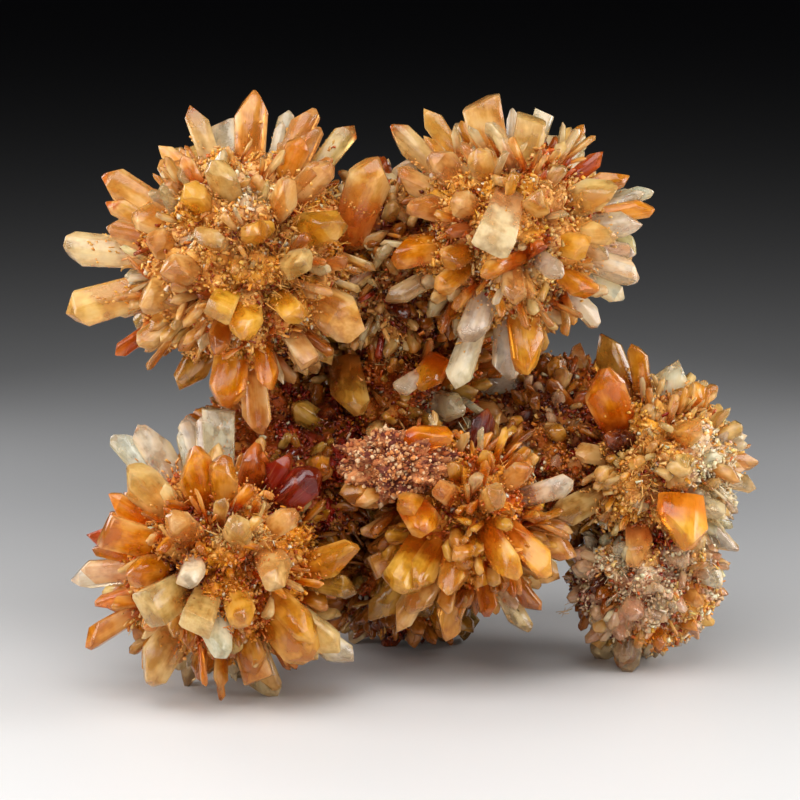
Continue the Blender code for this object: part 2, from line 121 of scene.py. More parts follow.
ROSETTES = as_named(Rosette, {
    "upper_left": ((-23.6, 59.2, 12.5), 13.5, 21.5, 4.8, 40, 1, "honey tan honey cream honey peach pale",
        "sand tan sand gold", 1.09),
    "upper_right": ((14.6, 63.5, 12.5), 12, 19.5, 4.6, 36, 2, "honey tan cream honey gold pale",
        "sand gold sugar sand tan", 1.05),
    "lower_left": ((-26.9, 15.7, 15), 12.5, 20.5, 4.8, 36, 3, "ochre orange honey amber cream orange ochre",
        "ochre peach amber rust sand ochre", 1.02),
    "lower_middle": ((8.3, 22.5, 10), 11, 17.5, 4.4, 34, 4, "ochre honey yellow amber gold ochre",
        "ochre amber gold rust ochre", 0.92),
    "right": ((35.9, 29.7, 3), 10, 15.5, 4, 34, 5, "honey tan gold cream pale", "sand gold sand tan", 1.12),
    "right_foot": ((34.4, 13.8, -1), 9, 13, 3.2, 34, 6, "rose pink honey rose frost",
        "rose frost rose tan pink cream honey rose", 1.12),
    "heart": ((-1.8, 40, -6), 14.5, 22, 5, 38, 7, "amber brown honey brown olive", "rusty peach brown rust",
        1.06),
    "back_foot": ((-1, 18, -13), 12, 17.5, 4.8, 32, 8, "brown amber olive brown", "rusty brown red tan",
        1.06),
    "top_neck": ((-3, 58, 2), 12, 17, 4.4, 26, 9, "tan honey pale tan", "sand tan peach", 1.06),
    "left_neck": ((-17, 30, 1), 12.5, 17, 4.4, 24, 10, "amber brown olive orange", "rusty red peach", 1.06),
    "right_neck": ((21, 32.5, -3), 11.5, 16, 4.4, 24, 11, "tan brown amber pink", "rusty tan brown", 1.06),
})
# Seeds of chance. To the second row's, a rosette's own is added.
SEEDS = {
    "forms": 31, "bits": 61, "tufts": 71, "crumbs": 81,
    "fillers": 100, "finishes": 200, "finer form": 300, "middle": 400, "bed": 500,
}
# The rosettes that the eye sees little or nothing of.
HIDDEN = ("heart", "back_foot", "top_neck", "left_neck", "right_neck")

# The crystals that can be told apart.
CRYSTALS = {name: [Crystal(*row) for row in rows] for name, rows in {
    "upper_left": (
        (-27, 2, 0, 5, "pale"), (-26, -7.7, 1, 5.4, "honey"), (-21, 12.8, 2, 4.6, "tipped"),
        (-19.1, 8.6, -2, 3, "clear"), (-16.4, 7.5, 9, 4.6, "honey"), (-20.2, 5.1, 4, 3, "tan"),
        (-7.7, 22.8, 1, 3.2, "tipped_pale"), (1, 25.2, 1, 4.8, "peach"), (6.5, 22.3, -1, 2.4, "clear"),
        (9.7, 22.8, 0, 3.8, "tan"), (8.4, 18, 8, 3.4, "orange"), (-3, 20.4, -1, 4, "clear", "flat"),
        (15.7, 20, -4, 3.4, "tipped_pale"), (19.4, 15.1, 9, 6.4, "honey", "point", (13, -2, 0)),
        (13.5, 6.7, 16, 5.6, "yellow"), (1.5, 5.2, 21, 3.6, "yellow"), (-8.8, 10.9, 15.5, 4.4, "yellow"),
        (-3.9, -7.5, 19.5, 3.8, "yellow", "flat"), (0.3, -10.6, 18.5, 4.8, "yellow"),
        (17.8, -10.1, 12, 6.4, "honey"), (9.7, -15.1, 11, 3, "tan", "flat"),
        (-2.9, -21.5, 9, 5.4, "orange"), (3.9, -19, 11, 3.2, "orange"), (1.9, -25.5, 3, 4, "peach"),
        (-9, -18.9, 3, 4.4, "olive"), (-18.9, -13.5, 1, 2.2, "rust"), (12.3, 14.6, 12, 4, "tan"),
        (-15.9, -5.5, 12, 6, "tan"), (-14, 3, 13, 4.5, "peach"), (8, -8.4, 17, 3.4, "yellow"),
        (-4.4, -12.8, 16, 3.2, "brown"), (-4, 14.5, 17, 4.4, "cream"), (7, 11.5, 18, 4, "honey"),
        (-11.5, -1.5, 18.5, 4.6, "tan"), (9, -0.5, 20, 4.6, "cream"), (-6, 4, 20.5, 4.2, "honey"),
    ),
    "upper_right": (
        (-17.8, -3.5, 10, 5, "orange"), (-17.4, 15.5, 1, 3.8, "tipped_pale"), (-12.2, 18, 1, 3, "honey"),
        (-4.1, 19.4, 4, 5.6, "honey", "flat"), (1.3, 18, 0, 2.8, "white"),
        (3.5, 16.8, 6, 4.2, "cream", "flat"), (5.4, 17.7, 1, 2.6, "white", "flat"),
        (13.9, 11.5, 2, 2.4, "rust"), (17.4, 8.8, 2, 3.4, "amber"), (21.2, 6.2, 0, 2.2, "clear"),
        (21.5, 3.8, 2, 2.8, "orange"), (19.6, 1.3, 5, 3.8, "clear"), (16.1, 0.3, 12, 4.2, "cream"),
        (15.8, 7, 10, 5, "cream"), (5.4, 5.4, 18.5, 4.4, "honey"),
        (-2.2, -1.7, 21, 5.4, "ivory", "flat", (1, 8, 6)), (19.3, -6.7, 3, 4.2, "clear"),
        (17, -9.9, 1, 2.8, "clear"), (18.6, -2.9, 2, 2.2, "clear"), (13.5, -13.8, 1, 2.8, "clear"),
        (3.6, -20.9, 7, 5.2, "yellow"), (-0.4, -22, 1, 4, "clear"), (-8.1, -23.3, 5, 4.4, "white"),
        (-5.8, -16.4, 9, 4.2, "clear"), (-9.6, -4.4, 15, 3.6, "amber"), (-10.2, -8.4, 14, 3.2, "amber"),
        (-17.8, -10.3, 4, 3, "smoky"), (-16.8, 8.7, 5, 3.6, "tan"), (-14.5, 4.6, 11, 3.8, "peach"),
        (-7.7, 4.6, 16, 4.2, "tan"), (-4.8, 11.9, 14, 3.6, "honey"), (11.9, -2.6, 14, 3.8, "yellow"),
        (7.5, -6.2, 16.5, 3, "clear"), (-11.3, 11.9, 9, 4.2, "tan"), (1, -10, 17, 3.8, "tan"),
        (12.5, -9.5, 12, 3.6, "amber"),
    ),
    "lower_left": (
        (-11.9, 20.4, -1, 4.6, "clear"), (-15.4, 19.1, -2, 4.2, "clear"), (-5.8, 21.8, -2, 3.8, "clear"),
        (-0.5, 22.5, 0, 4.6, "clear", "flat"), (-14.4, 14.1, 9, 6.4, "cream"),
        (-4.9, 16.7, 12, 5.4, "orange"), (0.4, 15.1, 13, 4.4, "amber"), (6.2, 17.3, 9, 4.6, "rust"),
        (14.2, 13.6, 10, 5.2, "red"), (9.6, 16, 7, 4, "red"), (-16.7, 9.3, 7, 3, "orange"),
        (-17.3, 4.6, 12, 4.6, "orange", "flat"), (-19.7, 4.2, 3, 3.4, "rust"),
        (-22.3, -2.3, 0, 3.6, "clear"), (-20.6, -1.7, 5, 3.4, "pink"), (-18.7, -6.7, 4, 2.6, "peach"),
        (-20.2, -11.9, 3, 4.4, "orange"), (-11.6, -17.7, 8, 5.6, "cream"),
        (-11, -7.2, 17, 5.4, "cream", "flat"), (-4.9, -3, 21, 4.2, "white", "point", (-4, 4, 0)),
        (8.7, -2.8, 20, 5, "cream", "point", (5, 4, 0)), (20.3, 1.3, 9, 5, "yellow", "point", (4, -3, 0)),
        (10.6, 7.1, 14, 3.4, "honey"), (-3.9, -9.3, 19, 4.6, "cream", "flat"),
        (3.3, -8.7, 20, 4.2, "yellow"), (-0.9, -13.8, 17, 4.4, "white"), (13.5, -14.1, 12.5, 7, "yellow"),
        (17.1, -13.6, 7, 5, "cream"), (18.9, -14.8, 2, 3.6, "clear"), (7, -19.6, -1.6, 4.4, "tan"),
        (19.7, -4.1, 6, 3.2, "olive"), (-13.8, -1.6, 14.5, 4.4, "orange"), (-7.5, 6.5, 18.5, 4.2, "tan"),
        (3, 5.5, 19.5, 4.2, "cream"),
    ),
    "lower_middle": (
        (-10.4, -11.6, 13, 6.2, "yellow", "point", (-4, 0, 4)), (-13.6, -16, 4, 4.8, "olive"),
        (-10.3, -16.8, 5, 3.6, "tan"), (-7.8, -14.8, 8, 3.8, "tan"),
        (-1.9, -12.2, 13, 4.4, "gold", "point", (-1, 1, 5)), (-2.9, -18.4, 2, 3.8, "amber"),
        (7.8, -9.6, 13.5, 4.6, "yellow", "point", (1, 2, 6)),
        (13.2, -8.8, 10.5, 4, "yellow", "point", (2, 2, 4)), (9, -17.4, 2, 3, "smoky"),
        (10.7, -14.2, 3, 2.6, "brown"), (3.9, -15.1, 5, 2.6, "brown"), (-9.4, 1.2, 15, 4.6, "orange"),
        (-4.6, -2.8, 16, 5.2, "orange", "point", (-9, 3, 8)), (-3.5, 4.2, 15, 3.4, "peach"),
        (-17.6, 2.2, 12.5, 5.4, "peach", "point", (-8, 5, 3)),
        (-1.8, 13.2, 12, 4.8, "orange", "point", (-11.9, 8.3, 8)), (16, 4.6, 7, 3.2, "clear"),
        (5, 3, 16, 3.6, "honey"), (9.4, 7.3, 11, 3.2, "peach"),
    ),
    "right": (
        (-8.8, 18.9, -3, 5.8, "olive"), (-8.3, 13.6, 13, 6.4, "orange", "point", (-3, 0, 0)),
        (-2.8, 17.8, 2, 2.9, "amber"), (2.8, 15.5, 2, 4.9, "clear"), (10.3, 8.4, 2, 2.6, "cream"),
        (5.8, 6.5, 14, 4.4, "honey"), (13.5, 4.1, 1, 2.4, "clear"), (14.8, -3, 1, 2.6, "smoky"),
        (-11.5, 2, 10, 3, "tan"), (4, -13, 13.5, 8, "yellow", "point", (3.6, -1, 8.5)),
        (-1.9, -15.2, 9, 4.4, "tan", "point", (-3, -6, 2)), (11.7, -13.3, 1, 2.8, "clear"),
        (9.1, -18.4, 1, 3.8, "clear", "point", (4, -8, 0)), (-15.5, -8.3, 8, 4.4, "tan"),
        (9.4, 1, 11, 3, "white"),
    ),
    "right_foot": (
        (5.5, 2.5, 10.5, 3.4, "rose"), (-3.5, -13.9, 1, 2.6, "amber"), (8, -8.3, 5, 3.4, "orange"),
        (-11.7, -3.3, 2, 2.4, "pink"), (-8.3, -10.3, 3, 2.4, "pink"), (-1.9, -6.2, 12.5, 3.6, "pink"),
        (8.8, -3.6, 8, 3.2, "peach"), (2.2, -10.9, 7, 2.6, "amber"),
    ),
    "heart": (
        (-15.4, -1.5, 19.5, 3.8, "olive", "point", (-4.8, -7.8, 14)),
        (-6.2, -3.3, 20.5, 5.8, "olive", "point", (-7.8, 8.4, 12)),
        (-12.7, 3.6, 20, 3.6, "tan", "flat", (-13.8, 10.5, 14)),
        (3.6, 0.9, 20.5, 4.6, "amber", "point", (7.7, 6.6, 14)),
        (0.1, 0.3, 21.5, 2.8, "clear", "point", (6.1, 4.4, 16)), (-2.9, -6.7, 20.5, 3.6, "tan"),
        (11.5, 6, 17.5, 4.2, "amber", "point", (3, -2, 4)), (19, 2.2, 9, 4, "clear"),
        (16.5, -3.4, 12, 3.8, "peach"), (9.5, -2.5, 18, 4, "frost"),
    ),
    "back_foot": (),
    "top_neck": (),
    "left_neck": (),
    "right_neck": (),
}.items()}

# The dark and red patches sit in hollows and under the lower middle rosette: iron stain and painted shade.
PATCHES = [Patch(*row) for row in (
    (21, 58, 1.6, 0.9, "yellow"), (44.6, 31.5, 4.2, 0.6, "cream"), (45.6, 25, 3.4, 0.75, "sugar"),
    (43.4, 20, 3.4, 0.55, "cream"), (29.8, 30.4, 3.6, 0.5, "gold"), (27, 44.5, 3, 0.5, "rusty"),
    (13.6, 61.5, 2.6, 0.45, "sand"), (11.7, 44.8, 1, 0.95, "white"), (22.8, 7, 5, 0.95, "dark"),
    (9.5, 3.6, 5, 0.8, "dark"), (1, 4.4, 3.6, 0.85, "dark"), (-3.3, 64.1, 2.9, 0.9, "dark"),
    (0.4, 50.9, 2.6, 0.9, "dark"), (2.4, 47, 1.9, 0.9, "dark"), (-10.5, 40.6, 2.4, 0.8, "red"),
    (-9.8, 44.7, 2.9, 0.7, "dark"), (-13, 35.5, 4.9, 0.9, "dark"), (-15.6, 27.8, 3.8, 0.8, "red"),
    (-3.7, 23.5, 4.6, 0.85, "dark"), (-8.3, 18.1, 2.9, 0.7, "dark"), (-35.5, 13.9, 2.6, 0.9, "dark"),
    (-33, 11.9, 1.7, 0.8, "dark"), (-29.2, 13.5, 1.2, 0.8, "dark"), (-22.8, 15.7, 1.7, 0.6, "rusty"),
    (7.5, 63.5, 2.9, 0.6, "rusty"), (-1.1, 53.6, 3.5, 0.6, "dark"), (3.6, 50.5, 3.2, 0.8, "dark"),
    (16.3, 39.7, 4.9, 0.8, "dark"), (22.1, 38.9, 3.8, 0.8, "dark"), (25.9, 33.3, 3.2, 0.7, "dark"),
    (23.9, 27.5, 2.3, 0.5, "rusty"), (-4, 75.7, 3.8, 0.7, "rust"), (-8, 73.2, 2, 0.6, "dark"),
    (22.1, 75.4, 2.3, 0.8, "rust"), (19.9, 62.3, 1.3, 0.9, "rust"), (-24.9, 62.8, 1.2, 0.9, "dark"),
    (-30.7, 54.5, 2.3, 0.8, "rusty"), (-15.3, 63.2, 1.3, 0.7, "dark"), (-27.9, 47.7, 2.3, 0.6, "rusty"),
    (-14.7, 57.7, 1.2, 0.6, "dark"), (-39.8, 61.3, 1.3, 0.7, "rusty"), (-19.2, 49.3, 3.2, 0.6, "rusty"),
    (-15.6, 44.9, 2.3, 0.8, "dark"), (0.7, 32.2, 3.8, 0.5, "rusty"), (6.5, 39.4, 2.6, 0.6, "dark"),
    (-40.2, 17.1, 2.3, 0.6, "rust"), (-26, 3.6, 1.2, 0.6, "rusty"), (27.9, 27.8, 1.4, 0.6, "dark"),
    (21.2, 51.8, 1.7, 0.6, "rust"), (-25.4, 71.6, 2.9, 0.5, "sugar"), (-23.4, 69.2, 2.9, 0.85, "frost"),
    (-20.2, 68.7, 1.7, 0.7, "sugar"), (-31.7, 62.2, 1.2, 0.8, "frost"), (-39.7, 56.5, 1.4, 0.8, "frost"),
    (-19.2, 56.8, 6.4, 0.5, "sand"), (-29.7, 42.2, 1.2, 0.8, "frost"), (-22.5, 40.9, 1.6, 0.7, "sugar"),
    (8, 68.3, 3.5, 0.6, "gold"), (16.6, 67.7, 1.7, 0.7, "gold"), (15.7, 63.8, 1.6, 0.7, "sugar"),
    (14.4, 58, 2.6, 0.6, "frost"), (12.4, 53.9, 1.2, 0.9, "frost"), (21.2, 51.8, 1.6, 0.5, "frost"),
    (2.8, 59.7, 2.6, 0.6, "gold"), (-38.2, 7.1, 3.6, 0.97, "sugar"), (-26.6, 19.4, 2, 0.9, "sugar"),
    (-21.4, 19.4, 1.9, 0.9, "sugar"), (-21.1, 23.8, 1.3, 0.7, "sugar"), (-32.4, -0.9, 3.2, 0.6, "frost"),
    (-25.3, -1.2, 2.9, 0.8, "frost"), (-11.4, 0.6, 2.9, 0.9, "frost"), (-7.5, 6.4, 1.9, 0.6, "frost"),
    (-45.7, 2.6, 1.9, 0.7, "frost"), (4.3, 38.4, 2.3, 0.7, "frost"), (10.5, 35.1, 2.3, 0.7, "frost"),
    (10.7, 27.4, 1.4, 0.7, "sugar"), (17.3, 30.2, 1.9, 0.5, "frost"), (18.1, 34.2, 1.7, 0.5, "peach"),
    (41.7, 29, 2.9, 0.6, "frost"), (45.9, 29.9, 3.5, 0.85, "frost"), (45, 25.4, 3.5, 0.9, "frost"),
    (46.2, 20.3, 2.6, 0.8, "frost"), (43, 33.9, 2, 0.7, "frost"), (29.7, 15.9, 3.2, 0.6, "frost"),
    (33.7, 10.7, 4.9, 0.5, "rose"), (41.3, 9.6, 1.6, 0.8, "orange"), (36.6, 3.6, 2.9, 0.8, "orange"),
    (25.6, 7.5, 1.7, 0.6, "frost"), (39.5, 15.9, 2.6, 0.5, "frost"),
)]

TUFTS = [Tuft(*row) for row in (
    (-26.6, 19.4, 1.3, 30, 2.6, "sugar"), (-21.4, 19.4, 1.2, 26, 2.4, "sugar"),
    (-38.2, 8.4, 2.9, 120, 1.8, "sugar"), (-17, 58.3, 4.3, 110, 2.6, "sand"),
    (-11.2, 62.3, 2.3, 40, 2.6, "gold"), (-23.6, 60.9, 2.6, 40, 2.2, "sand"),
    (-20.2, 68.1, 2, 30, 2.2, "sugar"), (8.6, 34.4, 1, 22, 4.5, "frost"),
    (12.3, 53.9, 1.2, 12, 1.8, "gold"), (2.8, 59.7, 1.7, 40, 2.2, "gold"), (8, 68.3, 2.6, 50, 2.2, "gold"),
    (16.6, 67.7, 1.2, 30, 2, "gold"), (-1.8, 34.8, 2.3, 30, 2.2, "peach"),
    (21.2, 51.8, 1.4, 26, 2, "peach"), (-1.1, 47.1, 2.6, 40, 2.6, "sand"),
    (-2.7, 44.6, 2.4, 40, 2.4, "sugar"), (33.7, 29, 3.8, 60, 2.2, "sand"),
    (45.3, 26.1, 2, 24, 2.2, "frost"), (29.7, 15.1, 2.2, 20, 2, "rose"), (35.2, 10.1, 3.4, 30, 2, "rose"),
    (13.4, 29, 3.2, 50, 2.2, "sand"), (-21.1, 23.8, 1.2, 20, 2, "sugar"), (-15.6, 66, 2, 24, 2.2, "sand"),
    (-34.7, 24.6, 1.4, 20, 2.2, "sand"), (19.2, 17.1, 0.6, 5, 4.2, "frost"),
    (31.8, 16.7, 0.7, 6, 4.6, "rose"), (23.6, 9.3, 1.2, 8, 2, "rose"),
)]

# Where the specimen stands: points of the floor, as X and Y, that a rosette's lowest crystals reach.
FEET = {
    "lower_left": ((-33.0, -8.0), (-20.5, -14.5), (-24.5, -3.0)),
    "right_foot": ((29.6, -1.5), (33.5, 7.0), (26.5, 6.0)),
    "back_foot": ((-9.0, 15.0), (6.0, 16.0), (-1.0, 23.0)),
}
FOOT_WIDTH = 4.6
FOOT_WEAR = 0.9

# The big crystals' form, as in the source.
THICKNESS_SHARE = 0.62
AT_THE_EYE = 0.95
ROOT_START = 0.30
FOUR_FACED_FROM = 5.2
TURN_SPREAD = math.radians(14)
APEX_OFFSET = 0.22
EDGE_SLOPES = (math.radians(42), math.radians(60))
FACE_SLOPES = (math.radians(34), math.radians(52))
BREAK_AT = 0.97
BREAK_LEAN = (0.10, 0.30)
SNAP = 0.001
GOLDEN_TURN = math.pi * (3 - math.sqrt(5))
FILLER_REACH = (0.86, 1.04)
FILLER_WIDTH = (0.75, 1.30)
FILLER_BROKEN = 0.12
FILLER_SCATTER = 0.09
FILLER_CLEARANCE = math.radians(19)
BURIED_MARGIN = 4.5

# What the solid leaves out of that form: chamfers, worn edges, blunt tips, lesser faces at the tip, and sides
# that aren't quite even. Depths of cut are shares of the width, or of the thickness for a chamfer.
ROOT_WIDTH_SHARE = 0.80
CHAMFERS = (0.08, 0.42)
BROKEN_CHAMFERS = (0.02, 0.14)
CHAMFER_OUT = (0.62, 1.0, -0.04)
EDGE_WEAR = 0.012
BLUNT_SHARE = 0.5
BLUNT = (0.04, 0.14)
BLUNT_LEAN = 0.22
LESSER_FACES = (0, 0, 1, 2)
LESSER_FACE_SLOPES = (math.radians(50), math.radians(72))
LESSER_FACE_CUT = (0.05, 0.26)
SIDE_CUTS = 2
SIDE_CUT = (0.02, 0.07)
SIDE_CUT_LEAN = -0.06

# Lesser crystals grown alongside a big one: the chance of each next one, and their size, place and lean.
ALONGSIDE = 0.30
BUNDLE_ALONGSIDE = 0.45
ALONGSIDE_WIDTH = (0.40, 0.80)
ALONGSIDE_LENGTH = (0.74, 0.97)
ALONGSIDE_THICKER = 1.2
ALONGSIDE_AWAY = (0.6, 1.0)
ALONGSIDE_LEAN = 0.04
# A crystal that only fills out its rosette is a bundle: its thickest member, and how many others it has.
BUNDLE_WIDTH = 0.75
BUNDLE_OTHERS = (1, 4)

# The rusty lump, and how clear of it the creedite keeps.
MATRIX_CENTRE = (-1.6, 29.8, 19.0)
MATRIX_RADII = (6.6, 4.6, 4.2)
LUMP_CLEARANCE = 0.4

# The crystals are gathered in an upper and a lower tier of pieces, which meet at this height in millimetres.
TIERS = ("upper", "lower")
TIERS_MEET = 41.0

# Small forms are one unit wide and so many units long. Each copy lies elsewhere in its material's pattern.
FORM_LENGTH = 4.0
PATTERN_SPAN = 500
SMALL_THICKNESS = 0.7
SMALL_ROOT_SHARE = 0.75
SMALL_BREAK_AT = 3.8
SMALL_BREAK_LEAN = 0.3
SMALL_SLOPES = (math.radians(45), math.radians(64))
SMALL_APEX = 0.2
CRUMB_UNEVENNESS = 0.14
CRUMB_FORMS = 5
CRUMB_FORMS_IN_DRUSE = 2

# The bed of druse that the bigger crystals stand in, and the hummocks that it swells into, one for so many
# square millimetres, each mostly with crystals of one colour. Its valleys are darkened, and so are the clefts
# between rosettes, up to so many millimetres from the neighbour's bed, with iron stain and painted shade.
HUMMOCK_MM2 = 14.0
HUMMOCK_RISE = 0.17
HUMMOCK_LEVEL = 0.4
HUMMOCK_FOOT = -0.5
HUMMOCK_OWN_COLOUR = 0.75
BED_ROUGHNESS = 0.5
ROUGH_FINENESS = 0.9
VALLEY = 0.10
VALLEY_STAIN_AND_SHADE = 0.5
VALLEY_STAIN_AND_SHADE_WORDS = ("rust", "brown", "red", "rusty")
CREVICE_REACH = 4.0
CREVICE_STAIN_AND_SHADE = 0.9
CREVICE_STAIN_AND_SHADE_WORDS = ("dark", "red", "brown", "rusty", "amber")
# A share of the grains painted white as glints: painted highlights.
PAINTED_GLINTS = 0.05
STAINED_GRAINS = 0.04
SUNK_TOO_DEEP = 1.0
LOWEST_TIP = 0.4

# The bed's own surface: how far down between the grains it lies, how many crumbs fit in a millimetre, and how
# high they are.
GROUND_DOWN = 0.35
GROUND_FINENESS = 7
HIDDEN_GROUND_FINENESS = 6
LOWEST_GROUND = 0.3
GROUND_VALLEY = VALLEY + 0.15
GROUND_VALLEY_EDGE = 0.5
CRUMBS_IN_MM = (1.5, 3.2)
CRUMB_HEIGHTS = (0.34, 0.20)

# Its crystals: how many a square millimetre, how far their tips stand out of it, and how wide, long and askew
# they are.
GRAINS_PER_MM2 = 3.75
GRAIN_TIPS = (-0.1, 0.9)
GRAIN_WIDTH = (0.24, 0.72)
GRAIN_LENGTH = (0.5, 1.2)
GRAIN_LEAN = 0.8
GRAIN_FAN = 1.2
# The grains are painted darker low on the hummocks and lighter on their rises: painted shade.
VALLEY_PAINTED_SHADE = 0.90
RISE_PAINTED_LIGHT = 0.20
GRAIN_PAINTED_LIGHT_RANGE = (0.76, 1.0)
GRAIN_SPREAD = 0.15

# Crystals of middle size: how many a rosette has, how far they reach, and their width, length and lean.
MIDDLE_FORMS = 10
MIDDLE_COUNT = 480
HIDDEN_MIDDLE_COUNT = 950
MIDDLE_REACH = (0.72, 0.97)
MIDDLE_WIDTH = (0.7, 2.7)
MIDDLE_SMALLER = 1.3
MIDDLE_THICKNESS = (0.28, 0.60)
MIDDLE_APEX = (0.2, 0.15)
MIDDLE_SLIMMEST = 5.5
MIDDLE_CLEARANCE = 1.5
SHAFT_BARE_FROM = 0.4
MIDDLE_LENGTH = (0.30, 0.58)
MIDDLE_STANDS_OUT = 0.7
MIDDLE_LEAN = 0.22
MIDDLE_MOST_LEAN = 0.4
MIDDLE_LOWEST_TIP = 0.5
MIDDLE_COVERED = -0.5
MIDDLE_PATCHED = 0.8
MIDDLE_STAIN_AND_SHADE = 0.6
MIDDLE_SPREAD = 0.07
MIDDLE_STAIN_AND_SHADE_WORDS = ("brown", "red", "amber", "olive", "peach", "pink")

# Bits of druse on the flanks of the big crystals: how many for a square millimetre of flank, from where to
# where along the crystal, their width and length, and which crystals are too thin for them.
BITS_PER_MM2 = 0.7
BITS_GIRTH = 2.6
BITS_ALONG = (0.42, 0.78)
BITS_LOWER = 1.7
BITS_NEARER = (0.5, 1.0)
BITS_SIDE = (0.46, 0.50)
BITS_WIDTH = (0.14, 0.42)
BITS_LENGTH = (0.4, 1.3)
BITS_OUT = 0.55
BITS_LEAN = 0.35
BITS_AIM_OUT = (0.5, 0.9, 0)
BITS_AIM_UP = (0, 0, 0.8)
BITS_SPREAD = 0.12
BITS_FROM_WIDTH = 2.2
BITS_FROM_TIP = 0.9

NEEDLE_WIDTH = (0.10, 0.24)
NEEDLE_TIP_RADIUS = 0.22
NEEDLE_LENGTHS = (0.5, 1.2)
NEEDLE_SPREAD = 0.55
NEEDLE_OUT = 0.8
NEEDLE_COLOUR_SPREAD = 0.08
# How far needles scatter from their tuft's middle, as a share of its radius, and how much nearer to the eye a
# rosette has to be for each millimetre that a needle's place lies beside it.
TUFT_SCATTER = 0.5
BESIDE_COSTS = 4

# The crumbs of the rusty lump, most of them small.
CRUMB_COUNT = 2600
CRUMB_SIZE = (0.22, 0.95)
CRUMB_SMALLER = 2.2
CRUMB_LENGTHS = (1.0, 2.3)
CRUMB_LEAN = 1.3
CRUMB_OUT = 0.6
CRUMB_LIGHT = (0.75, 1.15)
CRUMB_BRIGHTEST = 0.95
LUMP_FINENESS = 6
LUMP_COLOURS = (
    (0.78, 0.38, 0.15), (0.86, 0.54, 0.28), (0.70, 0.25, 0.06), (0.70, 0.25, 0.06), (0.42, 0.09, 0.02),
    (0.78, 0.38, 0.15), (0.88, 0.60, 0.34), (0.55, 0.15, 0.03),
)

# How much a big crystal's colour varies, and the brightest that any gets.
BIG_SPREAD = 0.06
BRIGHTEST = 0.97

# The stains and veils of creedite, and how light takes to the ground of its beds, to its sandy druse, to its
# cloudy body and to its clear parts. The deep rust and the root stain also stand for painted shade.
RUST = (0.62, 0.15, 0.015)
DEEP_RUST_AND_SHADE = (0.30, 0.026, 0.005)
ROOT_STAIN_AND_SHADE = (0.86, 0.30, 0.08)
VEIL = (0.97, 0.76, 0.36)
DULL = {"Specular IOR Level": 0.3}
OPAQUE = {"IOR": 1.46}
BODY = {"IOR": 1.46, "Transmission Weight": 0.30}
GLASS = {"IOR": 1.46, "Transmission Weight": 1.0}

# The floor's grey near the specimen and far behind it, where it shades off, and half its side, in metres.
# The far grey is painted shade, standing for the lamps' falloff.
FLOOR_NEAR = (0.72, 0.71, 0.70)
FLOOR_FAR_PAINTED_SHADE = (0.37, 0.37, 0.375)
FLOOR_PAINTED_SHADE_SPAN = (-0.08, 0.14)
FLOOR_HALF_SIDE = 4.0
FLOOR_ROUGHNESS = 0.5
DARK_ROOM = (0.003, 0.003, 0.0035, 1)

# The lamps: where each stands and what it points at, in metres, its width and height, and its power in watts.
LAMPS = {
    "softbox": ((-0.04, -0.18, 0.28), (0, -0.03, 0.02), (0.36, 0.24), 1.10),
    "left_panel": ((-0.24, -0.07, 0.11), (0, 0, 0.035), (0.14, 0.20), 0.48),
    "right_panel": ((0.25, -0.07, 0.11), (0, 0, 0.03), (0.14, 0.20), 0.60),
    "front_fill": ((0.02, -0.48, 0.10), (0, 0, 0.03), (0.40, 0.14), 0.36),
    "left_rim": ((-0.17, 0.15, 0.10), (0, 0, 0.055), (0.10, 0.10), 0.12),
    "right_rim": ((0.17, 0.15, 0.10), (0, 0, 0.055), (0.10, 0.10), 0.12),
}


def place(across, up, toward):
    """The point, in millimetres, that the eye sees at (across, up) and that lies so far towards it."""
    shrink = 1 - toward / EYE_DISTANCE
    across = AIM_ACROSS + (across - AIM_ACROSS) * shrink
    up = AIM_UP + (up - AIM_UP) * shrink
    return RIGHT * across + UP * up + TOWARD * toward + CENTRE_SHIFT


def place_from(centre, offset):
    """The point that lies at that offset from a rosette's centre."""
    return place(*(c + o for c, o in zip(centre, offset)))


def seen_at(points):
    """Where the eye sees the points, as across and up."""
    from_plane = points - np.array(CENTRE_SHIFT)
    shrink = 1 - from_plane @ np.array(TOWARD) / EYE_DISTANCE
    across = AIM_ACROSS + (from_plane @ np.array(RIGHT) - AIM_ACROSS) / shrink
    return across, AIM_UP + (from_plane @ np.array(UP) - AIM_UP) / shrink


CENTRES = {name: place(*rosette.centre) for name, rosette in ROSETTES.items()}


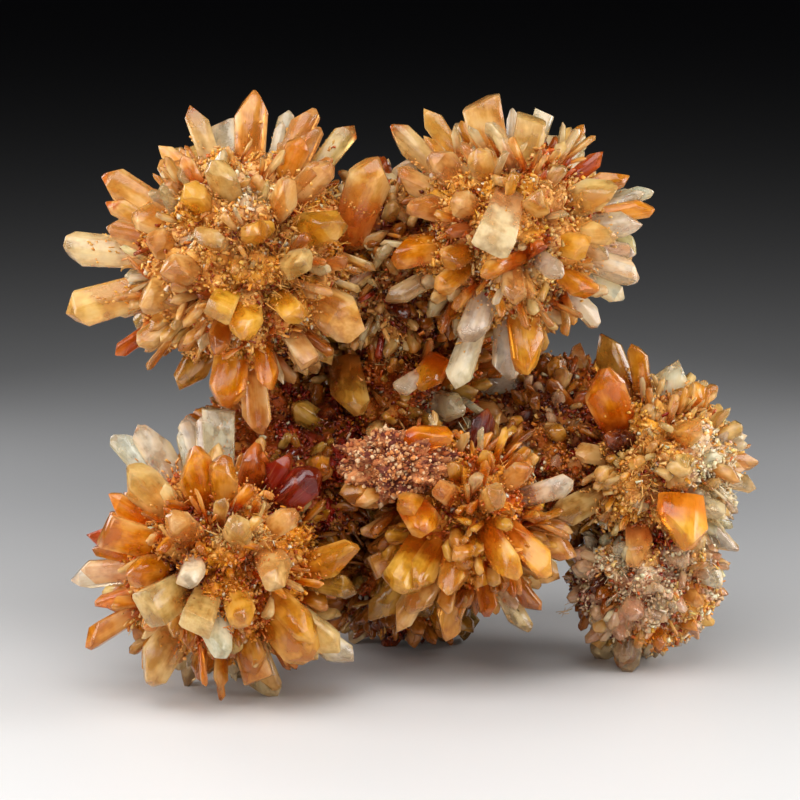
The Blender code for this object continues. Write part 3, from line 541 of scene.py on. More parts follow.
class Growth:
    """One piece in the making: many closed crystals, with what their material reads of each."""

    def __init__(self, name):
        self.name = name
        self.parts = []

    def add(self, form, matrices, colours, stains, seeds):
        """Adds a copy of the form for each matrix (root to tip is +Z in the form, in millimetres)."""
        count = len(matrices)
        points, section, sizes, corners = form
        if count == 0:
            return
        placed = np.einsum("nij,vj->nvi", matrices[:, :3, :3], points) + matrices[:, None, :3, 3]
        scale = np.linalg.norm(matrices[:, :3, :3], axis=1)
        grain = points[None] * scale[:, None, :] + seeds[:, None, :]
        self.parts.append(
            (
                placed.reshape(-1, 3),
                np.tile(section, (count, 1)),
                np.tile(sizes, count),
                (corners[None] + (np.arange(count) * len(points))[:, None]).ravel(),
                grain.reshape(-1, 3),
                np.repeat(colours, len(points), axis=0),
                np.repeat(stains, len(points)),
            )
        )

    def scatter(self, forms, rng, axes, widths, lengths, tips, colours, stains):
        """Adds crystals of several forms, picked by chance, with their tips at these places."""
        pick = rng.integers(0, len(forms), len(axes))
        turns = rng.uniform(0, math.tau, len(axes))
        seeds = rng.uniform(-PATTERN_SPAN, PATTERN_SPAN, (len(axes), 3))
        matrices = turned_to(axes, turns, widths, lengths, tips - axes * lengths[:, None])
        for k, form in enumerate(forms):
            chosen = pick == k
            self.add(form, matrices[chosen], colours[chosen], stains[chosen], seeds[chosen])

    def finished(self, material, slot, *nodes):
        """The piece as one mesh object in metres, riding on the specimen and standing for its CAD nodes."""
        offset = 0
        corners = []
        for part in self.parts:
            corners.append(part[3] + offset)
            offset += len(part[0])
        points, section, sizes, _, grain, colours, stains = (np.concatenate(p) for p in zip(*self.parts))
        corners = np.concatenate(corners)
        mesh = bpy.data.meshes.new(self.name)
        points[:, 2] = np.maximum(points[:, 2], 0)
        mesh.vertices.add(len(points))
        mesh.vertices.foreach_set("co", (points * MM).astype(np.float32).ravel())
        mesh.loops.add(len(corners))
        mesh.loops.foreach_set("vertex_index", corners.astype(np.int32))
        mesh.polygons.add(len(sizes))
        mesh.polygons.foreach_set("loop_start", (np.cumsum(sizes) - sizes).astype(np.int32))
        mesh.update(calc_edges=True)
        for title, kind, key, values in (
            ("stain", "FLOAT", "value", stains),
            ("section", "FLOAT_VECTOR", "vector", section),
            ("grain", "FLOAT_VECTOR", "vector", grain),
            ("tint", "FLOAT_COLOR", "color", colours),
        ):
            attribute = mesh.attributes.new(title, kind, "POINT")
            attribute.data.foreach_set(key, values.astype(np.float32).ravel())
        mesh.materials.append(material)
        mesh.validate()
        dressed(mesh, slot, *nodes)


def in_scene(name, data):
    """A new object in the scene, with this mesh, lens or light."""
    made = bpy.data.objects.new(name, data)
    bpy.context.scene.collection.objects.link(made)
    return made


def dressed(mesh, slot, *nodes):
    """Puts a finished piece, named as its mesh, on the specimen."""
    piece = in_scene(mesh.name, mesh)
    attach(piece, "root")
    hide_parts(*nodes)


def mesh_of(name, bm):
    """A bmesh, used up, as a mesh."""
    mesh = bpy.data.meshes.new(name)
    bm.to_mesh(mesh)
    bm.free()
    return mesh


def form_of(bm, length=FORM_LENGTH):
    """A bmesh, whose +Z runs from root to tip, as the arrays that a growth copies."""
    bmesh.ops.recalc_face_normals(bm, faces=bm.faces)
    mesh = mesh_of("form", bm)
    points = np.zeros(len(mesh.vertices) * 3)
    mesh.vertices.foreach_get("co", points)
    sizes = np.zeros(len(mesh.polygons), np.int32)
    mesh.polygons.foreach_get("loop_total", sizes)
    corners = np.zeros(len(mesh.loops), np.int32)
    mesh.loops.foreach_get("vertex_index", corners)
    bpy.data.meshes.remove(mesh)
    points = points.reshape(-1, 3)
    return points, points / (*np.abs(points[:, :2]).max(axis=0), length), sizes, corners


def trim(bm, point, normal):
    """Cuts off what lies beyond a plane, and closes the cut with a flat face."""
    everything = bm.verts[:] + bm.edges[:] + bm.faces[:]
    plane_no = Vector(normal).normalized()
    bmesh.ops.bisect_plane(
        bm, geom=everything, dist=SNAP, plane_co=point, plane_no=plane_no, clear_outer=True
    )
    bmesh.ops.holes_fill(bm, edges=[e for e in bm.edges if e.is_boundary])


def shave(bm, out, depth):
    """Cuts the side that faces that way down by a depth."""
    reach = max(v.co.dot(out) for v in bm.verts)
    trim(bm, out * (reach - depth), out)


def slope_off(bm, apex, to_x, to_y, slope):
    """Cuts one sloping face of a crystal's tip."""
    trim(bm, apex, (to_x * math.sin(slope), to_y * math.sin(slope), math.cos(slope)))


def slab_blank(bm, width, thickness, length, chance, chamfers):
    """A tabular prism along +Z: broad faces, narrow sides, and a chamfer of its own along each long edge."""
    cuts = [chance.uniform(*chamfers) for _ in range(4)]
    half = math.sqrt(0.5)
    made = bmesh.ops.create_cone(
        bm, cap_ends=True, segments=4, radius1=half * ROOT_WIDTH_SHARE, radius2=half, depth=length
    )
    bmesh.ops.rotate(bm, matrix=Matrix.Rotation(math.pi / 4, 3, "Z"), verts=made["verts"])
    lengthwise = max(abs(v.co.x) for v in bm.verts)
    to_size = (0.5 * width / lengthwise, 0.5 * thickness / lengthwise, 1)
    bmesh.ops.scale(bm, vec=to_size, verts=made["verts"])
    bmesh.ops.translate(bm, vec=(0, 0, length / 2), verts=made["verts"])
    for (side, face), cut in zip(((1, 1), (-1, 1), (-1, -1), (1, -1)), cuts):
        out = Vector((side * CHAMFER_OUT[0], face * CHAMFER_OUT[1], CHAMFER_OUT[2]))
        shave(bm, out.normalized(), thickness * cut)


def big_form(width, thickness, length, end, rng, own, four_faced=False):
    """A big crystal. The source's draws of chance come from rng, and those of its finer form from own."""
    bm = bmesh.new()
    broken = end == "flat"
    slab_blank(bm, width, thickness, length, own, BROKEN_CHAMFERS if broken else CHAMFERS)
    if broken:
        lean = rng.uniform(*BREAK_LEAN)
        turn = rng.uniform(0, math.tau)
        trim(bm, (0, 0, length * BREAK_AT), (lean * math.cos(turn), lean * math.sin(turn), 1))
    else:
        apex_x = width * rng.uniform(-APEX_OFFSET, APEX_OFFSET)
        apex_y = thickness * rng.uniform(-APEX_OFFSET, APEX_OFFSET)
        for side in (1, -1):
            slope_off(bm, (apex_x, 0, length), side, 0, rng.uniform(*EDGE_SLOPES))
        chance = rng if four_faced else own
        for face in (1, -1):
            slope_off(bm, (0, apex_y, length), 0, face, chance.uniform(*FACE_SLOPES))
        if own.random() < BLUNT_SHARE:
            lean = (own.gauss(0, BLUNT_LEAN), own.gauss(0, BLUNT_LEAN), 1)
            trim(bm, (0, 0, length - width * own.uniform(*BLUNT)), lean)
    for _ in range(0 if broken else own.choice(LESSER_FACES)):
        around = own.uniform(0, math.tau)
        slope = own.uniform(*LESSER_FACE_SLOPES)
        level = math.sin(slope)
        out = Vector((math.cos(around) * level, math.sin(around) * level, math.cos(slope)))
        shave(bm, out, width * own.uniform(*LESSER_FACE_CUT))
    for _ in range(SIDE_CUTS):
        around = own.uniform(0, math.tau)
        out = Vector((math.cos(around), math.sin(around), SIDE_CUT_LEAN)).normalized()
        shave(bm, out, width * own.uniform(*SIDE_CUT))
    bmesh.ops.bevel(
        bm,
        geom=bm.edges[:],
        offset=width * EDGE_WEAR,
        offset_type="OFFSET",
        segments=1,
        profile=0.5,
        affect="EDGES",
        material=-1,
        clamp_overlap=True,
    )
    return bm


def crystal_frame(root, tip, turn):
    """The crystal's own axes: +Z from root to tip, and its broad side, before the turn, facing the eye."""
    axis = (tip - root).normalized()
    nearly_at_the_eye = abs(axis.dot(TOWARD)) > AT_THE_EYE
    across = axis.cross(UP if nearly_at_the_eye else TOWARD).normalized()
    frame_axes = Matrix((across, axis.cross(across), axis)).transposed().to_4x4()
    return Matrix.Translation(root) @ frame_axes @ Matrix.Rotation(turn, 4, "Z")


def varied(finish, rng, spread=BIG_SPREAD):
    """A finish's colour, a little varied, with its veil as the fourth channel."""
    light = 1 + rng.gauss(0, spread)
    colour = [c * light * (1 + rng.gauss(0, spread / 2)) for c in finish.colour]
    colour = [min(BRIGHTEST, max(0.0, c)) for c in colour]
    return [*colour, finish.veil]


def tier_of(height):
    """Which tier of pieces a crystal at that height, in millimetres, belongs to."""
    return TIERS[0] if height > TIERS_MEET else TIERS[1]


def grow(growths, bm, length, matrix, finish, rng):
    """Adds one big crystal, worn off where it would reach below the floor, to its tier and glass."""
    inverse = matrix.inverted()
    if min((matrix @ v.co).z for v in bm.verts) < 0:
        trim(bm, inverse @ Vector((0, 0, 0)), inverse.to_3x3() @ Vector((0, 0, -1)))
    made = FINISHES[finish]
    colours = np.array([varied(made, rng)])
    seeds = np.array([[rng.uniform(-PATTERN_SPAN, PATTERN_SPAN) for _ in range(3)]])
    growth = growths[tier_of(matrix.translation.z), made.glass]
    growth.add(form_of(bm, length), np.array([matrix]), colours, np.array([made.stain]), seeds)


# A big crystal's shaft, for the bits on its flanks: its own axes from its root, its size, its rosette, and
# whether it is one of those that can be told apart.
Shaft = namedtuple("Shaft", "matrix width thickness length rosette named")


def add_big_crystal(growths, root, tip, width, finish, end, rng, own, bundled=False):
    """A crystal of the solid, with the lesser ones that grew alongside it. Gives its matrix and length."""
    root = root.lerp(tip, ROOT_START)
    length = (tip - root).length
    thickness = width * THICKNESS_SHARE
    matrix = crystal_frame(root, tip, rng.gauss(0, TURN_SPREAD))
    size = BUNDLE_WIDTH if bundled else 1.0
    bm = big_form(width * size, thickness * size, length, end, rng, own, width >= FOUR_FACED_FROM)
    grow(growths, bm, length, matrix, finish, own)
    others = own.randint(*BUNDLE_OTHERS) if bundled else 0
    while others > 0 or own.random() < (BUNDLE_ALONGSIDE if bundled else ALONGSIDE):
        others -= 1
        share = own.uniform(*ALONGSIDE_WIDTH)
        around = own.uniform(0, math.tau)
        away = Vector((math.cos(around) * width, math.sin(around) * thickness, 0)) * 0.5
        shift = Matrix.Translation(away * own.uniform(*ALONGSIDE_AWAY))
        lean_x = Matrix.Rotation(own.gauss(0, ALONGSIDE_LEAN), 4, "X")
        lean_y = Matrix.Rotation(own.gauss(0, ALONGSIDE_LEAN), 4, "Y")
        lesser = length * own.uniform(*ALONGSIDE_LENGTH)
        bm = big_form(width * share, thickness * share * ALONGSIDE_THICKER, lesser, "point", own, own)
        grow(growths, bm, lesser, matrix @ shift @ (lean_x @ lean_y), finish, own)
    return matrix, length


def spread_directions(count, rng):
    """Directions spread evenly over a ball, each a little off its place."""
    for i in range(count):
        z = 1 - (2 * i + 1) / count
        ring = math.sqrt(1 - z * z)
        out = Vector((ring * math.cos(GOLDEN_TURN * i), ring * math.sin(GOLDEN_TURN * i), z))
        yield (out + Vector([rng.gauss(0, FILLER_SCATTER) for _ in range(3)])).normalized()


def fillers(name):
    """The crystals that fill out a rosette where none is given and no neighbour would bury them."""
    rosette = ROSETTES[name]
    rng = random.Random(SEEDS["fillers"] + rosette.seed)
    picks = random.Random(SEEDS["finishes"] + rosette.seed)
    patched = np.random.default_rng(SEEDS["finishes"] + rosette.seed)
    given = [Vector((c.across, c.up, c.toward)).normalized() for c in CRYSTALS[name]]
    others = [r for n, r in ROSETTES.items() if n != name]
    for out in spread_directions(rosette.fillers, rng):
        reach = rosette.reach * rng.uniform(*FILLER_REACH)
        width = rosette.width * rng.uniform(*FILLER_WIDTH)
        end = "flat" if rng.random() < FILLER_BROKEN else "point"
        tip = Vector(rosette.centre) + out * reach
        if any(out.angle(g) < FILLER_CLEARANCE for g in given):
            continue
        if any((tip - Vector(r.centre)).length < r.core + BURIED_MARGIN for r in others):
            continue
        finish = picks.choice(rosette.palette.split())
        finish = str(words_at(np.array([place(*tip)]), np.array([finish]), patched)[0])
        yield Crystal(out.x * reach, out.y * reach, out.z * reach, width, finish, end)


def big_crystals(growths):
    """Every crystal of the solid. Gives their shafts."""
    shafts = []
    for name, rosette in ROSETTES.items():
        rng = random.Random(rosette.seed)
        own = random.Random(SEEDS["finer form"] + rosette.seed)
        for c in (*CRYSTALS[name], *fillers(name)):
            named = c in CRYSTALS[name]
            tip = place_from(rosette.centre, (c.across, c.up, c.toward))
            root = place_from(rosette.centre, c.root)
            matrix, length = add_big_crystal(
                growths, root, tip, c.width, c.finish, c.end, rng, own, not named
            )
            shafts.append(Shaft(np.array(matrix), c.width, c.width * THICKNESS_SHARE, length, name, named))
        for x, y in FEET.get(name, ()):
            foot = Vector((x, y, -FOOT_WEAR))
            add_big_crystal(growths, CENTRES[name], foot, FOOT_WIDTH, "smoky", "point", rng, own)
    return shafts


def small_form(rng, sides, end):
    """A small crystal one unit wide and four long, of a dozen faces or so."""
    bm = bmesh.new()
    made = bmesh.ops.create_cone(
        bm, cap_ends=True, segments=sides, radius1=0.5 * SMALL_ROOT_SHARE, radius2=0.5, depth=FORM_LENGTH
    )
    bmesh.ops.rotate(bm, matrix=Matrix.Rotation(math.pi / 2, 3, "Z"), verts=made["verts"])
    flattened = (1, SMALL_THICKNESS / math.cos(math.pi / sides), 1)
    bmesh.ops.scale(bm, vec=flattened, verts=made["verts"])
    bmesh.ops.translate(bm, vec=(0, 0, FORM_LENGTH / 2), verts=made["verts"])
    if end == "flat":
        lean = [rng.uniform(-SMALL_BREAK_LEAN, SMALL_BREAK_LEAN) for _ in range(2)]
        trim(bm, (0, 0, SMALL_BREAK_AT), (*lean, 1))
    else:
        apex = rng.uniform(-SMALL_APEX, SMALL_APEX)
        for side in (1, -1):
            slope_off(bm, (apex, 0, FORM_LENGTH), side, 0, rng.uniform(*SMALL_SLOPES))
    return form_of(bm)


def middle_form(rng):
    """A crystal of middle size, one unit wide and four long."""
    bm = bmesh.new()
    thickness = rng.uniform(*MIDDLE_THICKNESS)
    slab_blank(bm, 1.0, thickness, FORM_LENGTH, rng, CHAMFERS)
    apex = Vector((*(rng.uniform(-most, most) for most in MIDDLE_APEX), FORM_LENGTH))
    for side in (1, -1):
        slope_off(bm, apex, side, 0, rng.uniform(*EDGE_SLOPES))
        slope_off(bm, apex, 0, side, rng.uniform(*FACE_SLOPES))
    return form_of(bm)


def needle_form():
    """A needle, one unit wide and four long."""
    bm = bmesh.new()
    bmesh.ops.create_cone(
        bm, cap_ends=True, segments=3, radius1=0.5, radius2=NEEDLE_TIP_RADIUS, depth=FORM_LENGTH
    )
    bmesh.ops.translate(bm, vec=(0, 0, FORM_LENGTH / 2), verts=bm.verts)
    return form_of(bm)


def crumb_form(rng):
    """An angular crumb, about one unit wide and four units long before it is scaled."""
    bm = bmesh.new()
    made = bmesh.ops.create_uvsphere(bm, u_segments=4, v_segments=2, radius=0.5)
    for v in made["verts"]:
        v.co += Vector([rng.uniform(-CRUMB_UNEVENNESS, CRUMB_UNEVENNESS) for _ in range(3)])
    bmesh.ops.scale(bm, vec=(1, 1, FORM_LENGTH), verts=bm.verts)
    bmesh.ops.translate(bm, vec=(0, 0, FORM_LENGTH / 2), verts=bm.verts)
    return form_of(bm)


def unit(vectors):
    """The vectors at a length of one."""
    return vectors / np.linalg.norm(vectors, axis=-1, keepdims=True)


def turned_to(axes, turns, widths, lengths, places):
    """Matrices that stand small forms, with their roots at the places, along the axes."""
    reference = np.where(np.abs(axes[:, 2:3]) > 0.9, [[1.0, 0.0, 0.0]], [[0.0, 0.0, 1.0]])
    side = unit(np.cross(reference, axes))
    other = np.cross(axes, side)
    c, s = np.cos(turns)[:, None], np.sin(turns)[:, None]
    matrices = np.zeros((len(axes), 4, 4))
    matrices[:, :3, 0] = (side * c + other * s) * widths[:, None]
    matrices[:, :3, 1] = (other * c - side * s) * widths[:, None]
    matrices[:, :3, 2] = axes * (lengths / FORM_LENGTH)[:, None]
    matrices[:, :3, 3] = places
    matrices[:, 3, 3] = 1
    return matrices


def out_from(name, axes, reach):
    """The points that lie so far from a rosette's centre, along these axes."""
    return np.array(CENTRES[name]) + axes * reach[:, None]


def bed_radius(rosette):
    """How far from its rosette's centre the bed of druse lies."""
    return rosette.core * rosette.bed_out


def beyond_beds(points, name):
    """How far the points lie outside the bed of each rosette but that one."""
    for other, rosette in ROSETTES.items():
        if other != name:
            yield np.linalg.norm(points - np.array(CENTRES[other]), axis=1) - bed_radius(rosette)


def inside_others(points, name, margin):
    """Which points lie deeper than the margin under another rosette's bed, or in the rusty lump."""
    buried = np.zeros(len(points), bool)
    for gap in beyond_beds(points, name):
        buried |= gap < -margin
    from_lump = (points - np.array(place(*MATRIX_CENTRE))) / (np.array(MATRIX_RADII) + LUMP_CLEARANCE)
    return buried | (np.linalg.norm(from_lump, axis=1) < 1)


def crevice(points, name):
    """How deep in a cleft between rosettes they lie: 1 at the other's bed, 0 a few millimetres off."""
    nearest = np.full(len(points), CREVICE_REACH)
    for gap in beyond_beds(points, name):
        nearest = np.minimum(nearest, gap)
    return 1 - np.clip(nearest, 0, CREVICE_REACH) / CREVICE_REACH


def patch_shares(points):
    """Each patch, with the share of what is at the points that it takes over."""
    across, up = seen_at(points)
    for patch in PATCHES:
        away = ((across - patch.across) ** 2 + (up - patch.up) ** 2) / patch.radius ** 2
        yield patch, patch.share * np.exp(-away)


def words_at(points, words, rng, strength=1.0):
    """The finishes of small crystals at these points: their own, or a patch's where there is one."""
    for patch, share in patch_shares(points):
        taken = rng.random(len(points)) < share * strength
        words = np.where(taken, np.array(patch.finish, dtype="U16"), words)
    return words


def shades(words, rng, spread):
    """The colours and stains of finishes, each a little varied."""
    colours = np.array([(*FINISHES[w].colour, FINISHES[w].veil) for w in words]).reshape(-1, 4)
    stains = np.array([FINISHES[w].stain for w in words])
    light = 1 + rng.normal(0, spread, (len(words), 1))
    colours[:, :3] *= light + rng.normal(0, spread / 4, (len(words), 3))
    return np.clip(colours, 0.0, BRIGHTEST), stains


def near_shafts(points, shafts):
    """Which points lie close to the outer part of one of the shafts."""
    near = np.zeros(len(points), bool)
    for shaft in shafts:
        tip = shaft.matrix[:3, 3] + shaft.matrix[:3, 2] * shaft.length
        low = shaft.matrix[:3, 3] + shaft.matrix[:3, 2] * shaft.length * SHAFT_BARE_FROM
        span = tip - low
        share = np.clip((points - low) @ span / (span @ span), 0, 1)
        gap = np.linalg.norm(points - low - share[:, None] * span, axis=1)
        near |= gap < shaft.width / 2 + MIDDLE_CLEARANCE
    return near


def middle_crystals(growths, shafts, forms):
    """The crystals of middle size, which stand between the big ones."""
    named = [x for x in shafts if x.named]
    for name, rosette in ROSETTES.items():
        rng = np.random.default_rng(SEEDS["middle"] + rosette.seed)
        many = HIDDEN_MIDDLE_COUNT if name in HIDDEN else MIDDLE_COUNT
        axes = unit(rng.normal(size=(many, 3)))
        reach = rosette.reach * rng.uniform(*MIDDLE_REACH, many)
        tips = out_from(name, axes, reach)
        kept = ~inside_others(tips, name, MIDDLE_COVERED) & (tips[:, 2] > MIDDLE_LOWEST_TIP)
        kept &= ~near_shafts(tips, named)
        axes, reach, tips = axes[kept], reach[kept], tips[kept]
        count = len(tips)
        lengths = rng.uniform(*MIDDLE_LENGTH, count) * reach
        slim, wide = MIDDLE_WIDTH
        widths = slim + (wide - slim) * rng.random(count) ** MIDDLE_SMALLER
        lean = np.clip(rng.normal(0, MIDDLE_LEAN, axes.shape), -MIDDLE_MOST_LEAN, MIDDLE_MOST_LEAN)
        aim = unit(axes + lean)
        words = words_at(tips, rng.choice(rosette.palette.split(), count), rng, MIDDLE_PATCHED)
        words = np.where(words == "dark", "brown", words)
        # Middle crystals in the clefts between rosettes take stained finishes, partly as painted shade.
        deep = rng.random(count) < crevice(tips, name) * MIDDLE_STAIN_AND_SHADE
        words = np.where(deep, rng.choice(MIDDLE_STAIN_AND_SHADE_WORDS, count), words)
        lengths = np.minimum(lengths, widths * MIDDLE_SLIMMEST)
        standing = np.minimum(reach, bed_radius(rosette) + MIDDLE_STANDS_OUT * lengths)
        tips = out_from(name, axes, standing)
        colours, stains = shades(words, rng, MIDDLE_SPREAD)
        glasses = np.array([FINISHES[w].glass for w in words])
        for (tier, glass), growth in growths.items():
            k = (glasses == glass) & (tier_of(CENTRES[name].z) == tier)
            growth.scatter(forms, rng, aim[k], widths[k], lengths[k], tips[k], colours[k], stains[k])


def blend(colours, other, share):
    """The colours, each turned by its share into the other one."""
    share = share[:, None]
    return colours * (1 - share) + np.array(other) * share


class Bed:
    """The hummocky druse that beds a rosette's bigger crystals."""

    def __init__(self, name):
        self.name = name
        self.rosette = ROSETTES[name]
        self.rng = np.random.default_rng(SEEDS["bed"] + self.rosette.seed)
        self.radius = bed_radius(self.rosette)
        self.area = 4 * math.pi * self.radius ** 2
        self.hummocks = unit(self.rng.normal(size=(int(self.area / HUMMOCK_MM2), 3)))
        self.words = self.rng.choice(self.rosette.bed.split(), len(self.hummocks))

    def swell(self, axes):
        """How far out the bed lies along these axes, which hummock that is on, and how high up on it."""
        core = self.rosette.core
        nearness = axes @ self.hummocks.T
        half_angle = math.sqrt(HUMMOCK_MM2 / math.pi) / self.radius
        rise = np.clip(1 - np.arccos(np.clip(nearness.max(axis=1), -1, 1)) / half_angle, HUMMOCK_FOOT, 1)
        rough = np.array([noise.noise(Vector(a) * core * ROUGH_FINENESS) for a in axes])
        out = self.radius + core * HUMMOCK_RISE * (rise - HUMMOCK_LEVEL) + rough * BED_ROUGHNESS
        return out, nearness.argmax(axis=1), rise

    def add_grains(self, growth, forms):
        """The small crystals all over the bed."""
        rng = self.rng
        axes = unit(rng.normal(size=(int(GRAINS_PER_MM2 * self.area), 3)))
        out, hummock, rise = self.swell(axes)
        out += rng.uniform(*GRAIN_TIPS, len(axes))
        tips = out_from(self.name, axes, out)
        kept = ~inside_others(tips, self.name, SUNK_TOO_DEEP) & (tips[:, 2] > LOWEST_TIP)
        axes, tips, hummock, rise = axes[kept], tips[kept], hummock[kept], rise[kept]
        count = len(tips)
        fan = axes - self.hummocks[hummock]
        aim = unit(axes + fan * GRAIN_FAN + rng.normal(0, GRAIN_LEAN, axes.shape))
        own = rng.choice(self.rosette.bed.split(), count)
        words = np.where(rng.random(count) < HUMMOCK_OWN_COLOUR, self.words[hummock], own)
        # Grains low in the valleys take darker, rustier finishes: iron stain and painted shade.
        low = (rise < VALLEY) & (rng.random(count) < VALLEY_STAIN_AND_SHADE)
        words = np.where(low, rng.choice(VALLEY_STAIN_AND_SHADE_WORDS, count), words)
        # White grains as painted glints.
        words = np.where(rng.random(count) < PAINTED_GLINTS, "white", words)
        words = np.where(rng.random(count) < STAINED_GRAINS, "rusty", words)
        # Grains in the clefts between rosettes take darker finishes: iron stain and painted shade.
        deep = rng.random(count) < crevice(tips, self.name) * CREVICE_STAIN_AND_SHADE
        words = np.where(deep, rng.choice(CREVICE_STAIN_AND_SHADE_WORDS, count), words)
        colours, stains = shades(words_at(tips, words, rng), rng, GRAIN_SPREAD)
        # Painted shade: darker low on the hummocks, lighter on their rises.
        colours[:, :3] *= np.clip(VALLEY_PAINTED_SHADE + RISE_PAINTED_LIGHT * rise, *GRAIN_PAINTED_LIGHT_RANGE)[:, None]
        widths = rng.uniform(*GRAIN_WIDTH, count)
        lengths = rng.uniform(*GRAIN_LENGTH, count)
        growth.scatter(forms, rng, aim, widths, lengths, tips, colours, stains)

    def ground(self, material):
        """The bed's own surface, crumbly with fine druse, as a finished piece."""
        bm = bmesh.new()
        fineness = HIDDEN_GROUND_FINENESS if self.name in HIDDEN else GROUND_FINENESS
        bmesh.ops.create_icosphere(bm, subdivisions=fineness, radius=1.0)
        axes = unit(np.array([v.co for v in bm.verts]))
        out, hummock, rise = self.swell(axes)
        crumbs = np.zeros(len(axes))
        for finer, height in zip(CRUMBS_IN_MM, CRUMB_HEIGHTS):
            scaled = axes * (self.rosette.core * finer)
            crumbs += height * np.array([0.5 - noise.voronoi(Vector(a))[0][0] for a in scaled])
        points = out_from(self.name, axes, out + crumbs - GROUND_DOWN)
        points[:, 2] = np.maximum(points[:, 2], LOWEST_GROUND)
        for v, point in zip(bm.verts, points):
            v.co = point
        mesh = mesh_piece(self.name + "_bed", bm, material, "creedite", "creedite_crystals")
        colours = np.array([FINISHES[w].colour for w in self.words])[hummock]
        for patch, share in patch_shares(points):
            colours = blend(colours, FINISHES[patch.finish].colour, share)
        # Darker in the valleys and in the clefts between rosettes: iron stain and painted shade.
        in_valley = np.clip((GROUND_VALLEY - rise) / GROUND_VALLEY_EDGE, 0, 1)
        colours = blend(colours, DEEP_RUST_AND_SHADE, in_valley * VALLEY_STAIN_AND_SHADE)
        colours = blend(colours, FINISHES["dark"].colour, crevice(points, self.name) * CREVICE_STAIN_AND_SHADE)
        height = np.clip(crumbs / sum(CRUMB_HEIGHTS) + 0.5, 0, 1)
        tint = mesh.attributes.new("tint", "FLOAT_COLOR", "POINT")
        tint.data.foreach_set("color", np.column_stack((colours, height)).astype(np.float32).ravel())


def add_flank_bits(growths, shafts, forms):
    """The bits of druse that crust the lower flanks of the big crystals."""
    rng = np.random.default_rng(SEEDS["bits"])
    for shaft in shafts:
        low, high = BITS_ALONG
        high = min(high, 1 - BITS_FROM_TIP * shaft.width / shaft.length)
        if shaft.width < BITS_FROM_WIDTH or high <= low:
            continue
        count = int(BITS_PER_MM2 * (high - low) * shaft.length * BITS_GIRTH * shaft.width)
        along = low + (high - low) * rng.random(count) ** BITS_LOWER * rng.uniform(*BITS_NEARER)
        around = rng.uniform(0, math.tau, count)
        swell = ROOT_WIDTH_SHARE + (1 - ROOT_WIDTH_SHARE) * along
        out = np.column_stack((np.cos(around), np.sin(around), np.zeros(count)))
        half = np.array((shaft.width * BITS_SIDE[0], shaft.thickness * BITS_SIDE[1], 0))
        spots = out * half * swell[:, None]
        spots[:, 2] = along * shaft.length
        aim = unit(out * BITS_AIM_OUT + BITS_AIM_UP + rng.normal(0, BITS_LEAN, (count, 3)))
        turn = shaft.matrix[:3, :3]
        spots = spots @ turn.T + shaft.matrix[:3, 3]
        aim = unit(aim @ turn.T)
        lengths = rng.uniform(*BITS_LENGTH, count)
        tips = spots + aim * (lengths * BITS_OUT)[:, None]
        k = ~inside_others(tips, shaft.rosette, SUNK_TOO_DEEP) & (tips[:, 2] > LOWEST_TIP)
        words = words_at(tips, rng.choice(ROSETTES[shaft.rosette].bed.split(), count), rng)
        colours, stains = shades(words, rng, BITS_SPREAD)
        widths = rng.uniform(*BITS_WIDTH, count)
        growth = growths[shaft.rosette]
        growth.scatter(forms, rng, aim[k], widths[k], lengths[k], tips[k], colours[k], stains[k])


def surface_at(across, up):
    """The point of the bed that the eye sees there, and the way out of it."""
    best = None
    for name, rosette in ROSETTES.items():
        radius = bed_radius(rosette)
        aside = math.hypot(across - rosette.centre[0], up - rosette.centre[1])
        toward = rosette.centre[2] + math.sqrt(max(0.0, radius ** 2 - aside ** 2))
        score = toward - BESIDE_COSTS * max(0.0, aside - radius)
        if best is None or score > best[0]:
            best = (score, toward, name)
    point = place(across, up, best[1])
    return np.array(point), np.array((point - CENTRES[best[2]]).normalized())


def tufts(form):
    """Tufts of fine needles that stand out of the bed."""
    growth = Growth("needle_tufts")
    rng = np.random.default_rng(SEEDS["tufts"])
    for tuft in TUFTS:
        spots = rng.normal(0, TUFT_SCATTER, (tuft.count, 2)) * tuft.radius + (tuft.across, tuft.up)
        points, outs = (np.array(x) for x in zip(*(surface_at(a, u) for a, u in spots)))
        aim = unit(outs + rng.normal(0, NEEDLE_SPREAD, outs.shape))
        lengths = tuft.length * rng.uniform(*NEEDLE_LENGTHS, tuft.count)
        colours, _ = shades(np.full(tuft.count, tuft.finish), rng, NEEDLE_COLOUR_SPREAD)
        tips = points + aim * (lengths * NEEDLE_OUT)[:, None]
        tips[:, 2] = np.maximum(tips[:, 2], LOWEST_TIP)
        widths = rng.uniform(*NEEDLE_WIDTH, tuft.count)
        growth.scatter([form], rng, aim, widths, lengths, tips, colours, np.zeros(tuft.count))
    return growth


def lump_crumbs(forms):
    """Crumbs all over the rusty lump."""
    growth = Growth("lump_crumbs")
    rng = np.random.default_rng(SEEDS["crumbs"])
    out = unit(rng.normal(size=(CRUMB_COUNT, 3)))
    heights = np.array([lump_swell(Vector(o)) for o in out])
    small, big = CRUMB_SIZE
    sizes = small + (big - small) * rng.random(CRUMB_COUNT) ** CRUMB_SMALLER
    points = out * heights[:, None] * np.array(MATRIX_RADII) + np.array(place(*MATRIX_CENTRE))
    aim = unit(out + rng.normal(0, CRUMB_LEAN, out.shape))
    lengths = sizes * rng.uniform(*CRUMB_LENGTHS, CRUMB_COUNT)
    colours = np.array(LUMP_COLOURS)[rng.integers(0, len(LUMP_COLOURS), CRUMB_COUNT)]
    colours = np.clip(colours * rng.uniform(*CRUMB_LIGHT, (CRUMB_COUNT, 1)), 0, CRUMB_BRIGHTEST)
    colours = np.column_stack((colours, np.zeros(CRUMB_COUNT)))
    tips = points + aim * (lengths * CRUMB_OUT)[:, None]
    growth.scatter(forms, rng, aim, sizes, lengths, tips, colours, np.zeros(CRUMB_COUNT))
    return growth


